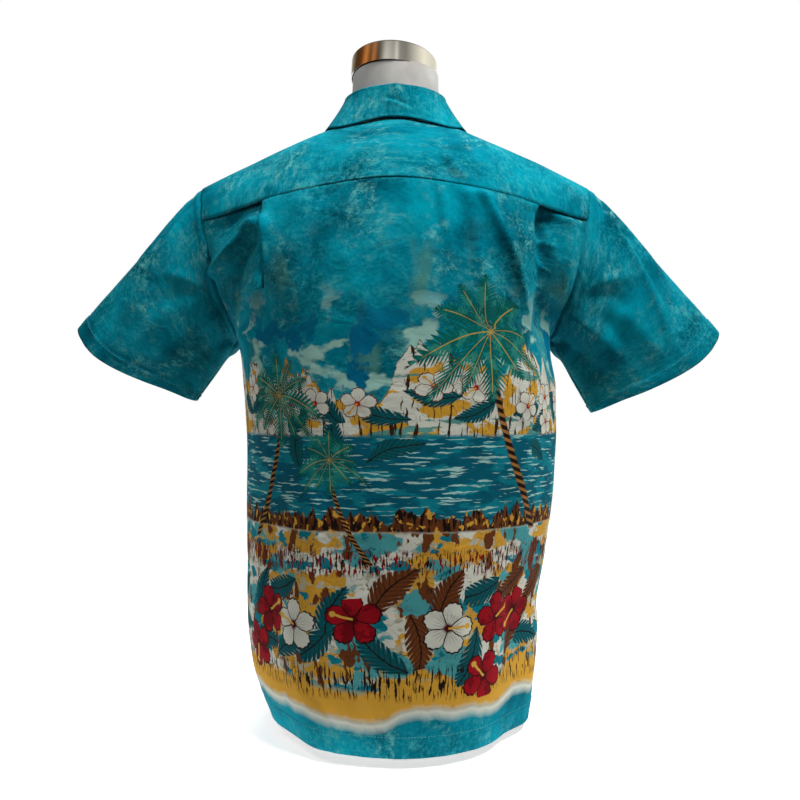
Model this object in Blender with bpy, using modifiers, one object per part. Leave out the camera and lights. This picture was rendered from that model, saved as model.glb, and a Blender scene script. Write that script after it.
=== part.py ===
"""Short-sleeved camp shirt worn by a limbless counter-top dress form.

Metres, +Z up. The wearer's front faces -Y and the wearer's left is +X. The form's flat base rests on z = 0, and the
origin is the middle of the surface that it stands on. Each panel of cloth is a grid laid on the worn shape, then
given its thickness, so the shirt stays hollow.
"""

import math

import bmesh
import bpy
import numpy as np
from mathutils import Matrix, Vector

# Cloth
WALL = 0.0016  # cotton with its seam allowances, as a wall
SEAM = 0.0003  # gap between pieces that are sewn together
HEM_HEIGHT = 0.012  # hem above the surface that the form stands on
HEM_TILT = 0.005  # and how much more on the wearer's left

# Worn shape: rings round the body, sizes from the body's axis
CHEST = 0.475  # level of the underarm points, where the rings start to lean in to the shoulders
SHOULDER_TOP = 0.7760  # where the two shoulder slopes would meet, above the neck
SHOULDER_SLOPE = 0.46  # fall for each metre out
SHOULDER_BLEND = 0.05  # rounds the meeting of the slopes over the neck
SHOULDER_ROUND = 2.2  # how full the cloth is between chest and shoulder; 2 is an ellipse

BODY = np.array(
    [
        # height of the ring at the centre, half widths, depths behind and before the axis, squareness of the ring
        (0.005, 0.156, 0.163, 0.149, 0.146, 2.05),
        (0.050, 0.173, 0.168, 0.150, 0.148, 2.10),
        (0.100, 0.182, 0.170, 0.149, 0.149, 2.15),
        (0.160, 0.184, 0.175, 0.147, 0.149, 2.20),
        (0.210, 0.184, 0.185, 0.146, 0.149, 2.20),
        (0.270, 0.185, 0.194, 0.144, 0.148, 2.20),
        (0.345, 0.186, 0.200, 0.142, 0.148, 2.25),
        (0.410, 0.189, 0.200, 0.141, 0.147, 2.35),
        (0.475, 0.198, 0.197, 0.140, 0.145, 2.40),
        (0.505, 0.210, 0.209, 0.140, 0.144, 2.40),
        (0.536, 0.222, 0.221, 0.140, 0.143, 2.40),
        (0.585, 0.237, 0.237, 0.140, 0.142, 2.40),
        (0.640, 0.251, 0.251, 0.140, 0.141, 2.40),
        (0.695, 0.262, 0.262, 0.140, 0.140, 2.40),
        (0.753, 0.272, 0.272, 0.140, 0.140, 2.40),
    ],
    dtype=[(n, float) for n in ("height", "left", "right", "back", "front", "square")],
)
PEAK = BODY["height"][-1]  # the shoulder line's height over the neck

# Armhole
ARMHOLE_TURN = math.radians(30)  # how far round from the side it reaches
ARMHOLE_SCOOP = 2.5  # how soon it gets there, going up
ARMHOLE_STEP = 0.0017  # the sleeve starts this far outside the body's edge

# Yoke
YOKE_SEAM_CENTRE = 0.608  # share of the way from chest to shoulder line, at the centre of the back
YOKE_SEAM_RISE = 0.030  # how much more a little way out from the centre
YOKE_SEAM_END = 0.065  # and how much more again at the armholes
YOKE_HALF_WIDTH = 0.225
YOKE_FRONT = 0.965  # the front seam's share of the way up to the shoulder line
NECK_HALF_WIDTH = 0.078
NECK_BACK = 0.066
NECK_FRONT_HALF_WIDTH = 0.074

# Pleats
PLEAT_LEFT, PLEAT_RIGHT = 0.150, 0.163  # fold edges from the centre, at the yoke
PLEAT_DEPTH = 0.015
PLEAT_LAYERS = 0.0021  # from the middle of one layer to the next
PLEAT_TURN = 0.0016  # half the cloth taken up by a fold's turn
PLEAT_END = 0.44  # height at which a pleat has opened out

FOLDS = np.array(
    [
        # on the back: where a fold's crest starts and ends, half its width and how far it stands out
        (0.158, 0.622, 0.214, 0.560, 0.011, 0.0045),
        (-0.088, 0.640, -0.160, 0.490, 0.016, 0.0050),
        (0.120, 0.610, 0.165, 0.455, 0.016, 0.0035),
        (-0.170, 0.560, -0.185, 0.430, 0.012, 0.0035),
        (0.075, 0.300, 0.110, 0.130, 0.020, 0.0030),
        (-0.060, 0.270, -0.105, 0.090, 0.020, 0.0030),
    ],
    dtype=[(n, float) for n in ("from_x", "from_z", "to_x", "to_z", "half_width", "rise")],
)

# Fronts
BREAK_HEIGHT = 0.612  # ring at the top button, where the lapels turn back
LAP = 0.016  # each front passes the centre by this much
UNDERLAP = 0.0029  # the right front lies this far inside the left
LAPEL_LOW, LAPEL_HIGH = 0.616, 0.681  # rings that a facing shows between
LAPEL_WIDTH = 0.036
LAPEL_LIFT = 0.0036

# Sleeves: the corners of their hems from behind, measured outwards; 1 is the wearer's left
CUFF_INNER = {1: Vector((0.256, -0.004, 0.394)), -1: Vector((0.251, -0.004, 0.379))}
CUFF_OUTER = {1: Vector((0.4045, -0.010, 0.4895)), -1: Vector((0.4125, -0.010, 0.4850))}
CUFF_HALF_DEPTH = 0.046
CUFF_DROOP = 0.014  # how much further the hem reaches between its corners
CROWN_BULGE = 0.003

COLLAR_ROLL = 0.0030  # radius of the fold, to the middle of the cloth
COLLAR_LIFT = 0.0042  # the leaf's edge above the shirt
COLLAR = np.array(
    [
        # share from the centre back to the front end: seam, fold and leaf edge, in plan, and the fold's height
        (0.00, 0.000, 0.0655, 0.000, 0.0610, 0.7720, 0.000, 0.0735),
        (0.20, 0.042, 0.0560, 0.038, 0.0490, 0.7710, 0.046, 0.0740),
        (0.38, 0.069, 0.0290, 0.060, 0.0210, 0.7725, 0.081, 0.0640),
        (0.55, 0.077, 0.0000, 0.063, -0.0060, 0.7720, 0.098, 0.0220),
        (0.75, 0.074, -0.0330, 0.060, -0.0390, 0.7580, 0.108, -0.0280),
        (1.00, 0.065, -0.0600, 0.055, -0.0650, 0.7350, 0.104, -0.0860),
    ],
    dtype=[
        (n, float)
        for n in ("share", "seam_x", "seam_y", "fold_x", "fold_y", "fold_z", "edge_x", "edge_y")
    ],
)

BUTTON_HEIGHTS = (0.588, 0.493, 0.398, 0.303, 0.208)
BUTTON_RADIUS = 0.0057
BUTTON_THICK = 0.0026
BUTTON_SHANK = 0.0015  # thread between the cloth and the button

# Dress form
FORM = np.array(
    [
        # height, half width, depths behind and before the axis, squareness
        (0.000, 0.134, 0.106, 0.108, 2.0),
        (0.010, 0.140, 0.112, 0.114, 2.0),
        (0.060, 0.143, 0.114, 0.118, 2.0),
        (0.150, 0.140, 0.108, 0.118, 2.0),
        (0.250, 0.149, 0.110, 0.124, 2.1),
        (0.350, 0.163, 0.120, 0.132, 2.1),
        (0.430, 0.173, 0.127, 0.133, 2.2),
        (0.500, 0.179, 0.128, 0.129, 2.2),
        (0.560, 0.184, 0.121, 0.119, 2.2),
        (0.610, 0.188, 0.108, 0.104, 2.1),
        (0.645, 0.185, 0.094, 0.090, 2.0),
        (0.672, 0.163, 0.084, 0.081, 2.0),
        (0.695, 0.127, 0.075, 0.074, 2.0),
        (0.714, 0.090, 0.065, 0.066, 2.0),
        (0.731, 0.066, 0.055, 0.059, 2.0),
        (0.750, 0.0590, 0.0500, 0.0590, 2.0),
        (0.796, 0.0575, 0.0510, 0.0590, 2.0),
    ],
    dtype=[(n, float) for n in ("height", "half_width", "back", "front", "square")],
)
CAP_RADIUS = 0.0545
CAP_HEIGHT = 0.0250
CAP_CENTRE = Vector((0.002, -0.004, 0.8025))
CAP_TILT = (math.radians(4), math.radians(-3))  # forward, and down on the wearer's left
CAP_EDGE = 0.0025

SHIRT_GREEN_BLUE = (0.004, 0.270, 0.370)
FORM_GREY = (0.46, 0.42, 0.39)
CAP_METAL = (0.60, 0.58, 0.55)
BUTTON_SHELL = (0.35, 0.27, 0.18)


# ---- shape of the worn cloth


def through(table, key, values, at):
    """Reads a column of a table at any keys, on a smooth curve through its rows."""
    keys, values = table[key], table[values]
    slopes = np.gradient(values, keys)
    i = np.clip(np.searchsorted(keys, at) - 1, 0, len(keys) - 2)
    span = keys[i + 1] - keys[i]
    t = np.clip((at - keys[i]) / span, 0.0, 1.0)
    start = (2 * t**3 - 3 * t**2 + 1) * values[i] + (t**3 - 2 * t**2 + t) * span * slopes[i]
    return start + (3 * t**2 - 2 * t**3) * values[i + 1] + (t**3 - t**2) * span * slopes[i + 1]


def ease(low, high, at):
    """0 below low, 1 above high and a smooth rise between."""
    t = np.clip((at - low) / (high - low), 0.0, 1.0)
    return t * t * (3 - 2 * t)


def shoulder_line(x):
    return SHOULDER_TOP - SHOULDER_SLOPE * np.sqrt(x * x + SHOULDER_BLEND**2)


def rise_of(height):
    return np.clip((height - CHEST) / (PEAK - CHEST), 0.0, 1.0)


def leaning(x, rise):
    """Height of a ring above the chest: level there, and leaning in to the shoulder line further up."""
    lean = ease(0.0, 0.25, rise)
    return CHEST + rise * ((PEAK - CHEST) * (1 - lean) + (shoulder_line(x) - CHEST) * lean)


def ring_size(x, y, height):
    """Half width, depth and squareness of a ring, on the side of the axis that x and y are on."""
    left, right, back, front = (through(BODY, "height", n, height) for n in ("left", "right", "back", "front"))
    return np.where(x >= 0, left, right), np.where(y >= 0, back, front), through(BODY, "height", "square", height)


def worn(angle, height):
    """Points of the body's cloth. The angle goes round from the wearer's left side, by the back; the height is the
    ring's at the centre."""
    across, along = np.cos(angle), np.sin(angle)
    width, depth, square = ring_size(across, along, height)
    rise = rise_of(height)
    x = np.sign(across) * width * np.abs(across) ** (2 / square)
    y = np.sign(along) * depth * np.abs(along) ** (2 / square)
    y = y * (1 - rise**SHOULDER_ROUND) ** (1 / SHOULDER_ROUND)
    z = np.where(height <= CHEST, height, leaning(x, rise))
    z = z + HEM_TILT * (1 - ease(0.0, 0.2, height)) * ease(0.0, 1.0, across)
    return np.stack([x, y, z], axis=-1)


def out_of(angle, height):
    """Unit normals of the worn cloth."""
    step = 1e-4
    round_body = worn(angle + step, height) - worn(angle - step, height)
    up = worn(angle, height + step) - worn(angle, height - step)
    normal = np.cross(round_body, up)
    return normal / np.linalg.norm(normal, axis=-1, keepdims=True)


def over_shoulder(x, y):
    """Points of the same cloth above the chest, by their place in plan: the highest ring that reaches out to them."""
    rise = np.linspace(0, 1, 120)[:, None]
    width, depth, square = ring_size(x, y, CHEST + rise * (PEAK - CHEST))
    edge = depth * np.maximum(1 - (np.abs(x) / width) ** square, 0) ** (1 / square)
    spare = edge * (1 - rise**SHOULDER_ROUND) ** (1 / SHOULDER_ROUND) - np.abs(y)
    last = len(rise) - 1 - np.argmax(spare[::-1] >= 0, axis=0)
    place = np.arange(len(x))
    inside, outside = spare[last, place], spare[np.minimum(last + 1, len(rise) - 1), place]
    part = np.where(outside < 0, inside / np.maximum(inside - outside, 1e-12), 0)
    reached = (last + np.clip(part, 0, 1)) / (len(rise) - 1)
    return np.stack([x, y, leaning(x, reached)], axis=-1)


def armhole_angle(height):
    """How far round from the side the armhole's edge is at a ring."""
    return ARMHOLE_TURN * np.sqrt(1 - (1 - rise_of(height)) ** ARMHOLE_SCOOP)


def slanting_folds(points):
    """How far the folds that run down from the yoke and the pleats push the back out."""
    push = np.zeros(len(points))
    for fold in FOLDS:
        start = np.array((fold["from_x"], fold["from_z"]))
        run = np.array((fold["to_x"], fold["to_z"])) - start
        reach = points[:, [0, 2]] - start
        along = reach @ run / (run @ run)
        aside = (reach[:, 0] * run[1] - reach[:, 1] * run[0]) / np.hypot(*run)
        ends = ease(0.0, 0.3, along) * (1 - ease(0.6, 1.0, along))
        push += fold["rise"] * ends * np.exp(-((aside / fold["half_width"]) ** 2))
    return push


def soft_folds(points, angle, height):
    """Broad vertical folds of the hanging cloth, deepest at the hem and shallow at the centre back."""
    low = 1 - ease(0.05, 0.42, height)
    wave = 0.0030 * np.sin(7 * angle + 0.6) + 0.0018 * np.sin(11 * angle + 2.1)
    centre_back = np.exp(-(((angle - math.radians(90)) / 0.5) ** 2))
    outward = points * (1, 1, 0) / np.linalg.norm(points[..., :2], axis=-1)[..., None]
    return points + outward * (low * wave * (1 - 0.7 * centre_back))[..., None]


# ---- making objects


def new_material(name, colour, roughness, metallic=0.0):
    material = bpy.data.materials.new(name)
    material.use_nodes = True
    shader = material.node_tree.nodes["Principled BSDF"]
    shader.inputs["Base Color"].default_value = (*colour, 1)
    shader.inputs["Roughness"].default_value = roughness
    shader.inputs["Metallic"].default_value = metallic
    return material


def new_object(name, shape, material, collection):
    mesh = bpy.data.meshes.new(name)
    shape.to_mesh(mesh)
    shape.free()
    mesh.shade_smooth()
    mesh.materials.append(material)
    part = bpy.data.objects.new(name, mesh)
    collection.objects.link(part)
    return part


def cloth_panel(name, columns, rows, place, material, collection, wall=WALL):
    """A grid of cloth: place(u, v) gives its middle surface, u to the right of its outer side and v up."""
    shape = bmesh.new()
    bmesh.ops.create_grid(shape, x_segments=columns, y_segments=rows, size=0.5)
    shape.verts.ensure_lookup_table()
    flat = np.array([v.co[:2] for v in shape.verts]) + 0.5
    for vertex, point in zip(shape.verts, place(flat[:, 0], flat[:, 1])):
        vertex.co = point
    bmesh.ops.remove_doubles(shape, verts=shape.verts, dist=1e-6)
    panel = new_object(name, shape, material, collection)
    thick = panel.modifiers.new("Thickness", "SOLIDIFY")
    thick.thickness = wall
    thick.offset = 0.0
    return panel


# ---- the shirt's panels

QUARTER = math.pi / 2
YOKE_LEVEL = CHEST + YOKE_SEAM_CENTRE * (PEAK - CHEST)
FRONT_TOP = CHEST + YOKE_FRONT * (PEAK - CHEST)
CHEST_ROW = 0.62  # share of a panel's rows that are below the chest


def yoke_seam_height(x, gap):
    """The ring that the yoke's back seam is on, moved by half the seam's gap."""
    share = YOKE_SEAM_CENTRE + YOKE_SEAM_RISE * ease(0.0, 0.11, x) + YOKE_SEAM_END * (x / YOKE_HALF_WIDTH) ** 5
    return CHEST + share * (PEAK - CHEST) + gap


def angle_at(x, height, side="left"):
    """How far round from the side a ring is at this distance from the centre."""
    square = through(BODY, "height", "square", height)
    return np.arccos((np.abs(x) / through(BODY, "height", side, height)) ** (square / 2))


def rows_to(top, v):
    """Heights of a panel's rows: even from the hem to the chest, then close together where the armhole starts."""
    low = HEM_HEIGHT + (CHEST - HEM_HEIGHT) * v / CHEST_ROW
    share = np.clip((v - CHEST_ROW) / (1 - CHEST_ROW), 0, 1)
    return np.where(v <= CHEST_ROW, low, CHEST + (top - CHEST) * share**1.7)


def share_at(x):
    """Share of the way from the centre back to the armhole, at the yoke's level."""
    return float((QUARTER - angle_at(x, YOKE_LEVEL)) / (QUARTER - armhole_angle(YOKE_LEVEL)))


def pleat_turns(fold):
    """Shares at which the cloth of one half of the back turns at its pleat, going out from the centre."""
    places = [fold, fold + PLEAT_DEPTH]
    return [share_at(x + side * PLEAT_TURN) for x in places for side in (-1, 0, 1)]


def pleated(share, fold, closed):
    """Where the cloth of a share lies, as a share, and its height above the worn surface, with its pleat folded."""
    turns = pleat_turns(fold)
    edge, root = share_at(fold), share_at(fold - PLEAT_DEPTH)
    turn = (turns[1] - turns[0]) / 2
    lies = [0, edge - turn, edge, edge - turn, root + turn, root, root + turn, 1]
    levels = [0.3, 1, 0.5, 0, 0, -0.5, -1, -0.1]
    folded = np.interp(share, [0, *turns, 1], lies)
    level = np.interp(share, [0, *turns, 1], levels) * PLEAT_LAYERS
    return share + (folded - share) * ease(0.25, 1.0, closed), level * ease(0.0, 0.65, closed)


def back_columns(fold, count):
    """Shares of the columns of one half of the back, from the centre out, with the pleat's turns among them."""
    turns = pleat_turns(fold)
    inner = np.linspace(0, turns[0], count)[:-1]
    outer = np.linspace(turns[-1], 1, count // 2 + 1)[1:]
    return np.concatenate([inner, turns, outer])


def back_panel(material, collection):
    signed = np.concatenate([back_columns(PLEAT_LEFT, 10)[::-1], -back_columns(PLEAT_RIGHT, 10)[1:]])
    steps = np.linspace(0, 1, len(signed))

    def place(u, v):
        share = np.interp(u, steps, signed)
        half = np.abs(share)
        folded = np.where(share >= 0, pleated(half, PLEAT_LEFT, 1.0)[0], pleated(half, PLEAT_RIGHT, 1.0)[0])
        height = rows_to(yoke_seam_height(folded * YOKE_HALF_WIDTH, -3 * SEAM), v)
        closed = ease(PLEAT_END, YOKE_LEVEL, height)
        left, left_level = pleated(half, PLEAT_LEFT, closed)
        right, right_level = pleated(half, PLEAT_RIGHT, closed)
        lies, level = np.where(share >= 0, [left, left_level], [right, right_level])
        angle = QUARTER - np.sign(share) * lies * (QUARTER - armhole_angle(height))
        points = worn(angle, height)
        push = (level + slanting_folds(points))[:, None]
        points = soft_folds(points, angle, height) + out_of(angle, height) * push
        points[:, 1] += SEAM
        return points

    return cloth_panel("back", len(signed) - 1, 21, place, material, collection)


def yoke(material, collection):
    """Wraps over both shoulders: its lower edge meets the back, its ends meet the fronts and its middle the collar."""
    neck_share = 0.52  # of each half's upper edge that is neckline
    seam = FRONT_TOP + SEAM
    corner = worn(-angle_at(NECK_FRONT_HALF_WIDTH, seam), seam)

    def upper_edge(half):
        """Plan of the neckline from the centre back, and on along the front seam to the armhole."""
        turn = np.clip(half / neck_share, 0, 1) * 1.25 * QUARTER
        behind, before = np.minimum(turn, QUARTER), ease(0, 0.25 * QUARTER, turn - QUARTER)
        x = NECK_HALF_WIDTH * np.sin(behind) ** 0.86 - (NECK_HALF_WIDTH - NECK_FRONT_HALF_WIDTH) * before
        y = NECK_BACK * np.maximum(np.cos(behind), 0) ** 0.86
        y += corner[1] * np.clip(turn / QUARTER - 1, 0, 0.25) * 4
        out = np.clip((half - neck_share) / (1 - neck_share), 0, 1)
        inner, outer = angle_at(NECK_FRONT_HALF_WIDTH, seam), armhole_angle(seam)
        front = worn(-(inner + (outer - inner) * out), seam + 0 * out)
        return np.where(out > 0, front[..., 0], x), np.where(out > 0, front[..., 1], y)

    def lower_edge(half):
        height = yoke_seam_height(half * YOKE_HALF_WIDTH, SEAM)
        point = worn(QUARTER - half * (QUARTER - armhole_angle(height)), height)
        return point[..., 0], point[..., 1]

    heights = np.linspace(CHEST + 0.4 * (PEAK - CHEST), PEAK, 60)
    back, front = worn(armhole_angle(heights), heights), worn(-armhole_angle(heights), heights)
    armhole_edge = np.concatenate([front, back[::-1]])

    def place(u, v):
        half = np.abs(1 - 2 * u)
        low_x, low_y = lower_edge(half)
        high_x, high_y = upper_edge(half)
        x, y = low_x + (high_x - low_x) * v, low_y + (high_y - low_y) * v
        first, last = lower_edge(np.ones(1)), upper_edge(np.ones(1))
        end_x, end_y = (first[i] + (last[i] - first[i]) * v for i in (0, 1))
        x += half**4 * (np.interp(end_y, armhole_edge[:, 1], armhole_edge[:, 0]) - end_x)
        return over_shoulder(np.where(u < 0.5, x, -x), y)

    return cloth_panel("yoke", 32, 9, place, material, collection)


def front_edge(height):
    """The front's inner edge from the centre: past it up to the break, then back along the lapel's roll."""
    open_share = np.clip((height - BREAK_HEIGHT) / (FRONT_TOP - BREAK_HEIGHT), 0, 1)
    return -LAP + (NECK_FRONT_HALF_WIDTH + LAP) * open_share**0.75


def front_panel(side, material, collection):
    """side is 1 for the left front, which laps over, and -1 for the right."""

    def place(u, v):
        out = u if side < 0 else 1 - u
        height = rows_to(FRONT_TOP - SEAM, v)
        inner = front_edge(height)
        reach = QUARTER - np.sign(inner) * (QUARTER - angle_at(inner, height, "left" if side > 0 else "right"))
        angle = armhole_angle(height) + (reach - armhole_angle(height)) * out
        round_body = -angle if side > 0 else math.pi + angle
        points = soft_folds(worn(round_body, height), round_body, height)
        points[:, 1] -= SEAM
        if side < 0:
            points[:, 1] += UNDERLAP * ease(-0.045, -0.022, points[:, 0])
        return points

    name = "front_left" if side > 0 else "front_right"
    return cloth_panel(name, 14, 21, place, material, collection)


def armhole(turn):
    """The left armhole's edge: turn goes from the underarm up the back, over the shoulder and down the front."""
    height = CHEST + (PEAK - CHEST) * (1 - np.cos(turn)) / 2
    angle = np.where(np.sin(turn) >= 0, 1, -1) * armhole_angle(height)
    return worn(angle, height)


def sleeve(side, material, collection):
    middle = np.array((CUFF_INNER[side] + CUFF_OUTER[side]) / 2)
    across = np.array((CUFF_OUTER[side] - CUFF_INNER[side]) / 2)

    def place(u, v):
        turn = 2 * math.pi * (u if side < 0 else 1 - u)
        start = armhole(turn)
        up, back = -np.cos(turn)[:, None], np.sin(turn)[:, None]
        cuff = middle + up * across + back * (0, CUFF_HALF_DEPTH, 0)
        cuff += (1 - up**2) * (1 + 0.8 * up) * CUFF_DROOP * np.array((0.66, 0, -0.75))
        crown = CROWN_BULGE * np.sin(math.pi * v) ** 0.8 * (1 - v)
        points = start + (cuff - start) * v[:, None]
        points += crown[:, None] * np.clip(up, 0, 1) * (0.68, 0, 0.73)
        points[:, 0] += ARMHOLE_STEP
        if side < 0:
            points = points * (-1, 1, 1)
        return points

    name = "sleeve_left" if side > 0 else "sleeve_right"
    return cloth_panel(name, 28, 9, place, material, collection)


def collar(material, collection):
    def place(u, v):
        share = np.abs(1 - 2 * u)
        read = {n: through(COLLAR, "share", n, share) for n in COLLAR.dtype.names[1:]}
        seam = over_shoulder(read["seam_x"], read["seam_y"])
        seam[:, 2] += WALL / 2 + SEAM
        edge = over_shoulder(read["edge_x"], read["edge_y"])
        edge[:, 2] += COLLAR_LIFT
        fold = np.stack([read["fold_x"], read["fold_y"], read["fold_z"]], axis=-1)
        out = (edge - seam) * (1, 1, 0)
        out /= np.linalg.norm(out, axis=-1, keepdims=True)
        middle = fold - (0, 0, COLLAR_ROLL)
        up = np.array((0.0, 0.0, COLLAR_ROLL))
        around = np.clip((v - 0.4) / 0.2, 0, 1)[:, None] * math.pi
        rolled = middle - out * COLLAR_ROLL * np.cos(around) + up * np.sin(around)
        stand = seam + (rolled - seam) * np.clip(v / 0.4, 0, 1)[:, None]
        leaf = rolled + (edge - rolled) * np.clip((v - 0.6) / 0.4, 0, 1)[:, None]
        points = np.where(v[:, None] < 0.5, stand, leaf)
        points[:, 0] *= np.where(u < 0.5, 1, -1)
        return points

    return cloth_panel("collar", 30, 10, place, material, collection)


def lapel(side, material, collection):
    """The facing that shows where a front turns back: along the roll and out over the front."""

    def place(u, v):
        out = u if side > 0 else 1 - u
        height = LAPEL_LOW + (LAPEL_HIGH - LAPEL_LOW) * v
        roll = np.maximum(front_edge(height), 0.0) + 0.003
        width = 0.004 + LAPEL_WIDTH * v**0.8
        x = roll + width * out
        points = worn(-angle_at(x, height), height)
        normal = points * (0.35, 1, 0) + (0, 0, 0.04)
        normal /= np.linalg.norm(normal, axis=-1, keepdims=True)
        points += normal * LAPEL_LIFT
        return points * (side, 1, 1)

    name = "lapel_left" if side > 0 else "lapel_right"
    return cloth_panel(name, 5, 8, place, material, collection)


# ---- buttons and the dress form


def buttons(material, collection):
    for number, height in enumerate(BUTTON_HEIGHTS, 1):
        centre = worn(np.array(-QUARTER), np.array(height))
        lower, upper = (worn(np.array(-QUARTER), np.array(height + d)) for d in (-0.004, 0.004))
        lie = Vector(upper - lower).normalized()
        out = lie.cross(Vector((-1, 0, 0))).normalized()
        if out.y > 0:
            out = -out
        shape = bmesh.new()
        bmesh.ops.create_cone(
            shape,
            cap_ends=True,
            segments=16,
            radius1=BUTTON_RADIUS,
            radius2=BUTTON_RADIUS,
            depth=BUTTON_THICK,
        )
        stand = WALL / 2 + SEAM + BUTTON_THICK / 2 + BUTTON_SHANK
        turn = Vector((0, 0, 1)).rotation_difference(out).to_matrix().to_4x4()
        bmesh.ops.transform(shape, matrix=Matrix.Translation(Vector(centre) + out * stand) @ turn, verts=shape.verts)
        new_object(f"button_{number}", shape, material, collection)


def form_ring(shape, row, count):
    """One ring of the dress form's body."""
    ring = []
    for step in range(count):
        angle = 2 * math.pi * step / count
        across, along = math.cos(angle), math.sin(angle)
        power = 2 / row["square"]
        depth = row["back"] if along >= 0 else row["front"]
        x = math.copysign(row["half_width"] * abs(across) ** power, across)
        y = math.copysign(depth * abs(along) ** power, along)
        ring.append(shape.verts.new((x, y, row["height"])))
    return [shape.edges.new((ring[i], ring[(i + 1) % count])) for i in range(count)]


def form_torso(material, collection):
    shape = bmesh.new()
    loops = [form_ring(shape, row, 30) for row in FORM]
    for lower, upper in zip(loops, loops[1:]):
        bmesh.ops.bridge_loops(shape, edges=lower + upper)
    bmesh.ops.contextual_create(shape, geom=loops[0])
    bmesh.ops.contextual_create(shape, geom=loops[-1])
    bmesh.ops.recalc_face_normals(shape, faces=shape.faces)
    return new_object("form_torso", shape, material, collection)


def form_cap(material, collection):
    shape = bmesh.new()
    bmesh.ops.create_cone(
        shape, cap_ends=True, segments=40, radius1=CAP_RADIUS, radius2=CAP_RADIUS, depth=CAP_HEIGHT
    )
    rim = [e for e in shape.edges if all(v.co.z > 0 for v in e.verts)]
    bmesh.ops.bevel(
        shape, geom=rim, offset=CAP_EDGE, segments=3, profile=0.5, affect="EDGES", material=-1
    )
    forward, sideways = CAP_TILT
    turn = Matrix.Rotation(forward, 4, "X") @ Matrix.Rotation(sideways, 4, "Y")
    lift = Matrix.Translation(CAP_CENTRE + Vector((0, 0, CAP_HEIGHT / 2)))
    bmesh.ops.transform(shape, matrix=lift @ turn, verts=shape.verts)
    return new_object("form_cap", shape, material, collection)


def clear_scene():
    for old in list(bpy.data.objects):
        bpy.data.objects.remove(old, do_unlink=True)


def main():
    clear_scene()
    collection = bpy.data.collections.new("hawaiian_shirt")
    bpy.context.scene.collection.children.link(collection)
    cotton = new_material("printed_cotton", SHIRT_GREEN_BLUE, 0.75)
    shell = new_material("button_shell", BUTTON_SHELL, 0.4)
    jersey = new_material("form_jersey", FORM_GREY, 0.9)
    metal = new_material("brushed_cap", CAP_METAL, 0.35, 1.0)
    back_panel(cotton, collection)
    yoke(cotton, collection)
    for side in (1, -1):
        front_panel(side, cotton, collection)
        sleeve(side, cotton, collection)
        lapel(side, cotton, collection)
    collar(cotton, collection)
    buttons(shell, collection)
    form_torso(jersey, collection)
    form_cap(metal, collection)


main()
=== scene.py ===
"""Looks of a short-sleeved printed camp shirt on a limbless dress form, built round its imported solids.

Metres, +Z up, in the solids' own frame: the shirt's front faces -Y and the wearer's left is +X.
"""

import math

import bmesh
import bpy
import numpy as np
from mathutils import Matrix, Vector


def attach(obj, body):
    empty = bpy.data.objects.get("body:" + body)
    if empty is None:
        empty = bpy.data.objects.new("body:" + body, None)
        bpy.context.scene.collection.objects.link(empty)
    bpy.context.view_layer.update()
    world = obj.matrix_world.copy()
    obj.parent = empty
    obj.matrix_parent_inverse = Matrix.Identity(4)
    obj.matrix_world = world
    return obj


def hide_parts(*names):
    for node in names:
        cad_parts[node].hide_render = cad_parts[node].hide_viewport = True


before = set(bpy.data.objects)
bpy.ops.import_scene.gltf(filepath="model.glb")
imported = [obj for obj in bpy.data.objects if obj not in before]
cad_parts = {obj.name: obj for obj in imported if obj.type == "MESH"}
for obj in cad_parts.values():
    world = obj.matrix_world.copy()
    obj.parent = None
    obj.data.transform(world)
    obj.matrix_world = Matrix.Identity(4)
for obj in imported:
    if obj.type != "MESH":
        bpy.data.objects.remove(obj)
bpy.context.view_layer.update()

# ---- Studio --------------------------------------------------------------------------------------------------
# The form stands on a pale lit floor before plain white, under a large soft lamp above its right shoulder, and is
# seen from behind, level with the middle of the back, as in the photograph. Polished metal reflects no lamp but a
# room of warm and pale walls, which only its rays see.

VIEW_FROM = Vector((-0.00575, 0.9, 0.395))
VIEW_LENS = 31.68  # mm, on a sensor 36 mm wide
COLOUR_A, COLOUR_B = 6, 7  # places of a Mix node's two colours among its inputs
ROOM = [
    # how far round, from the shirt's front by its right side, and the tone of the wall that the metal reflects there
    (0.0, "#DEDCD2"), (0.12, "#D8D6C8"), (0.25, "#FBF8E6"), (0.33, "#C8C6BC"), (0.4, "#84837C"), (0.455, "#8E8D88"),
    (0.475, "#F0EFE8"), (0.495, "#A4A39E"), (0.56, "#D2D0C8"), (0.6, "#6A625A"), (0.625, "#3E3026"),
    (0.66, "#C07A3C"), (0.694, "#4A2A14"), (0.731, "#D08440"), (0.78, "#5A3418"), (0.85, "#4A3018"),
    (0.93, "#8A8478"), (1.0, "#DEDCD2"),
]  # fmt: skip


def linear(hex_colour):
    """An sRGB hex value as linear colour with alpha."""
    parts = [int(hex_colour[i : i + 2], 16) / 255 for i in (1, 3, 5)]
    return (*(c / 12.92 if c <= 0.04045 else ((c + 0.055) / 1.055) ** 2.4 for c in parts), 1.0)


def feed(node, *values, named=()):
    """Gives a node's inputs, in order or by name, values, links or tuples, which add a node as add's words do."""
    for key, value in [*enumerate(values), *dict(named).items()]:
        if isinstance(value, tuple) and isinstance(value[0], str):
            value = add(node.id_data, *value)
        if isinstance(value, bpy.types.NodeSocket):
            node.id_data.links.new(value, node.inputs[key])
        elif value is not None:
            node.inputs[key].default_value = value


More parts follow.
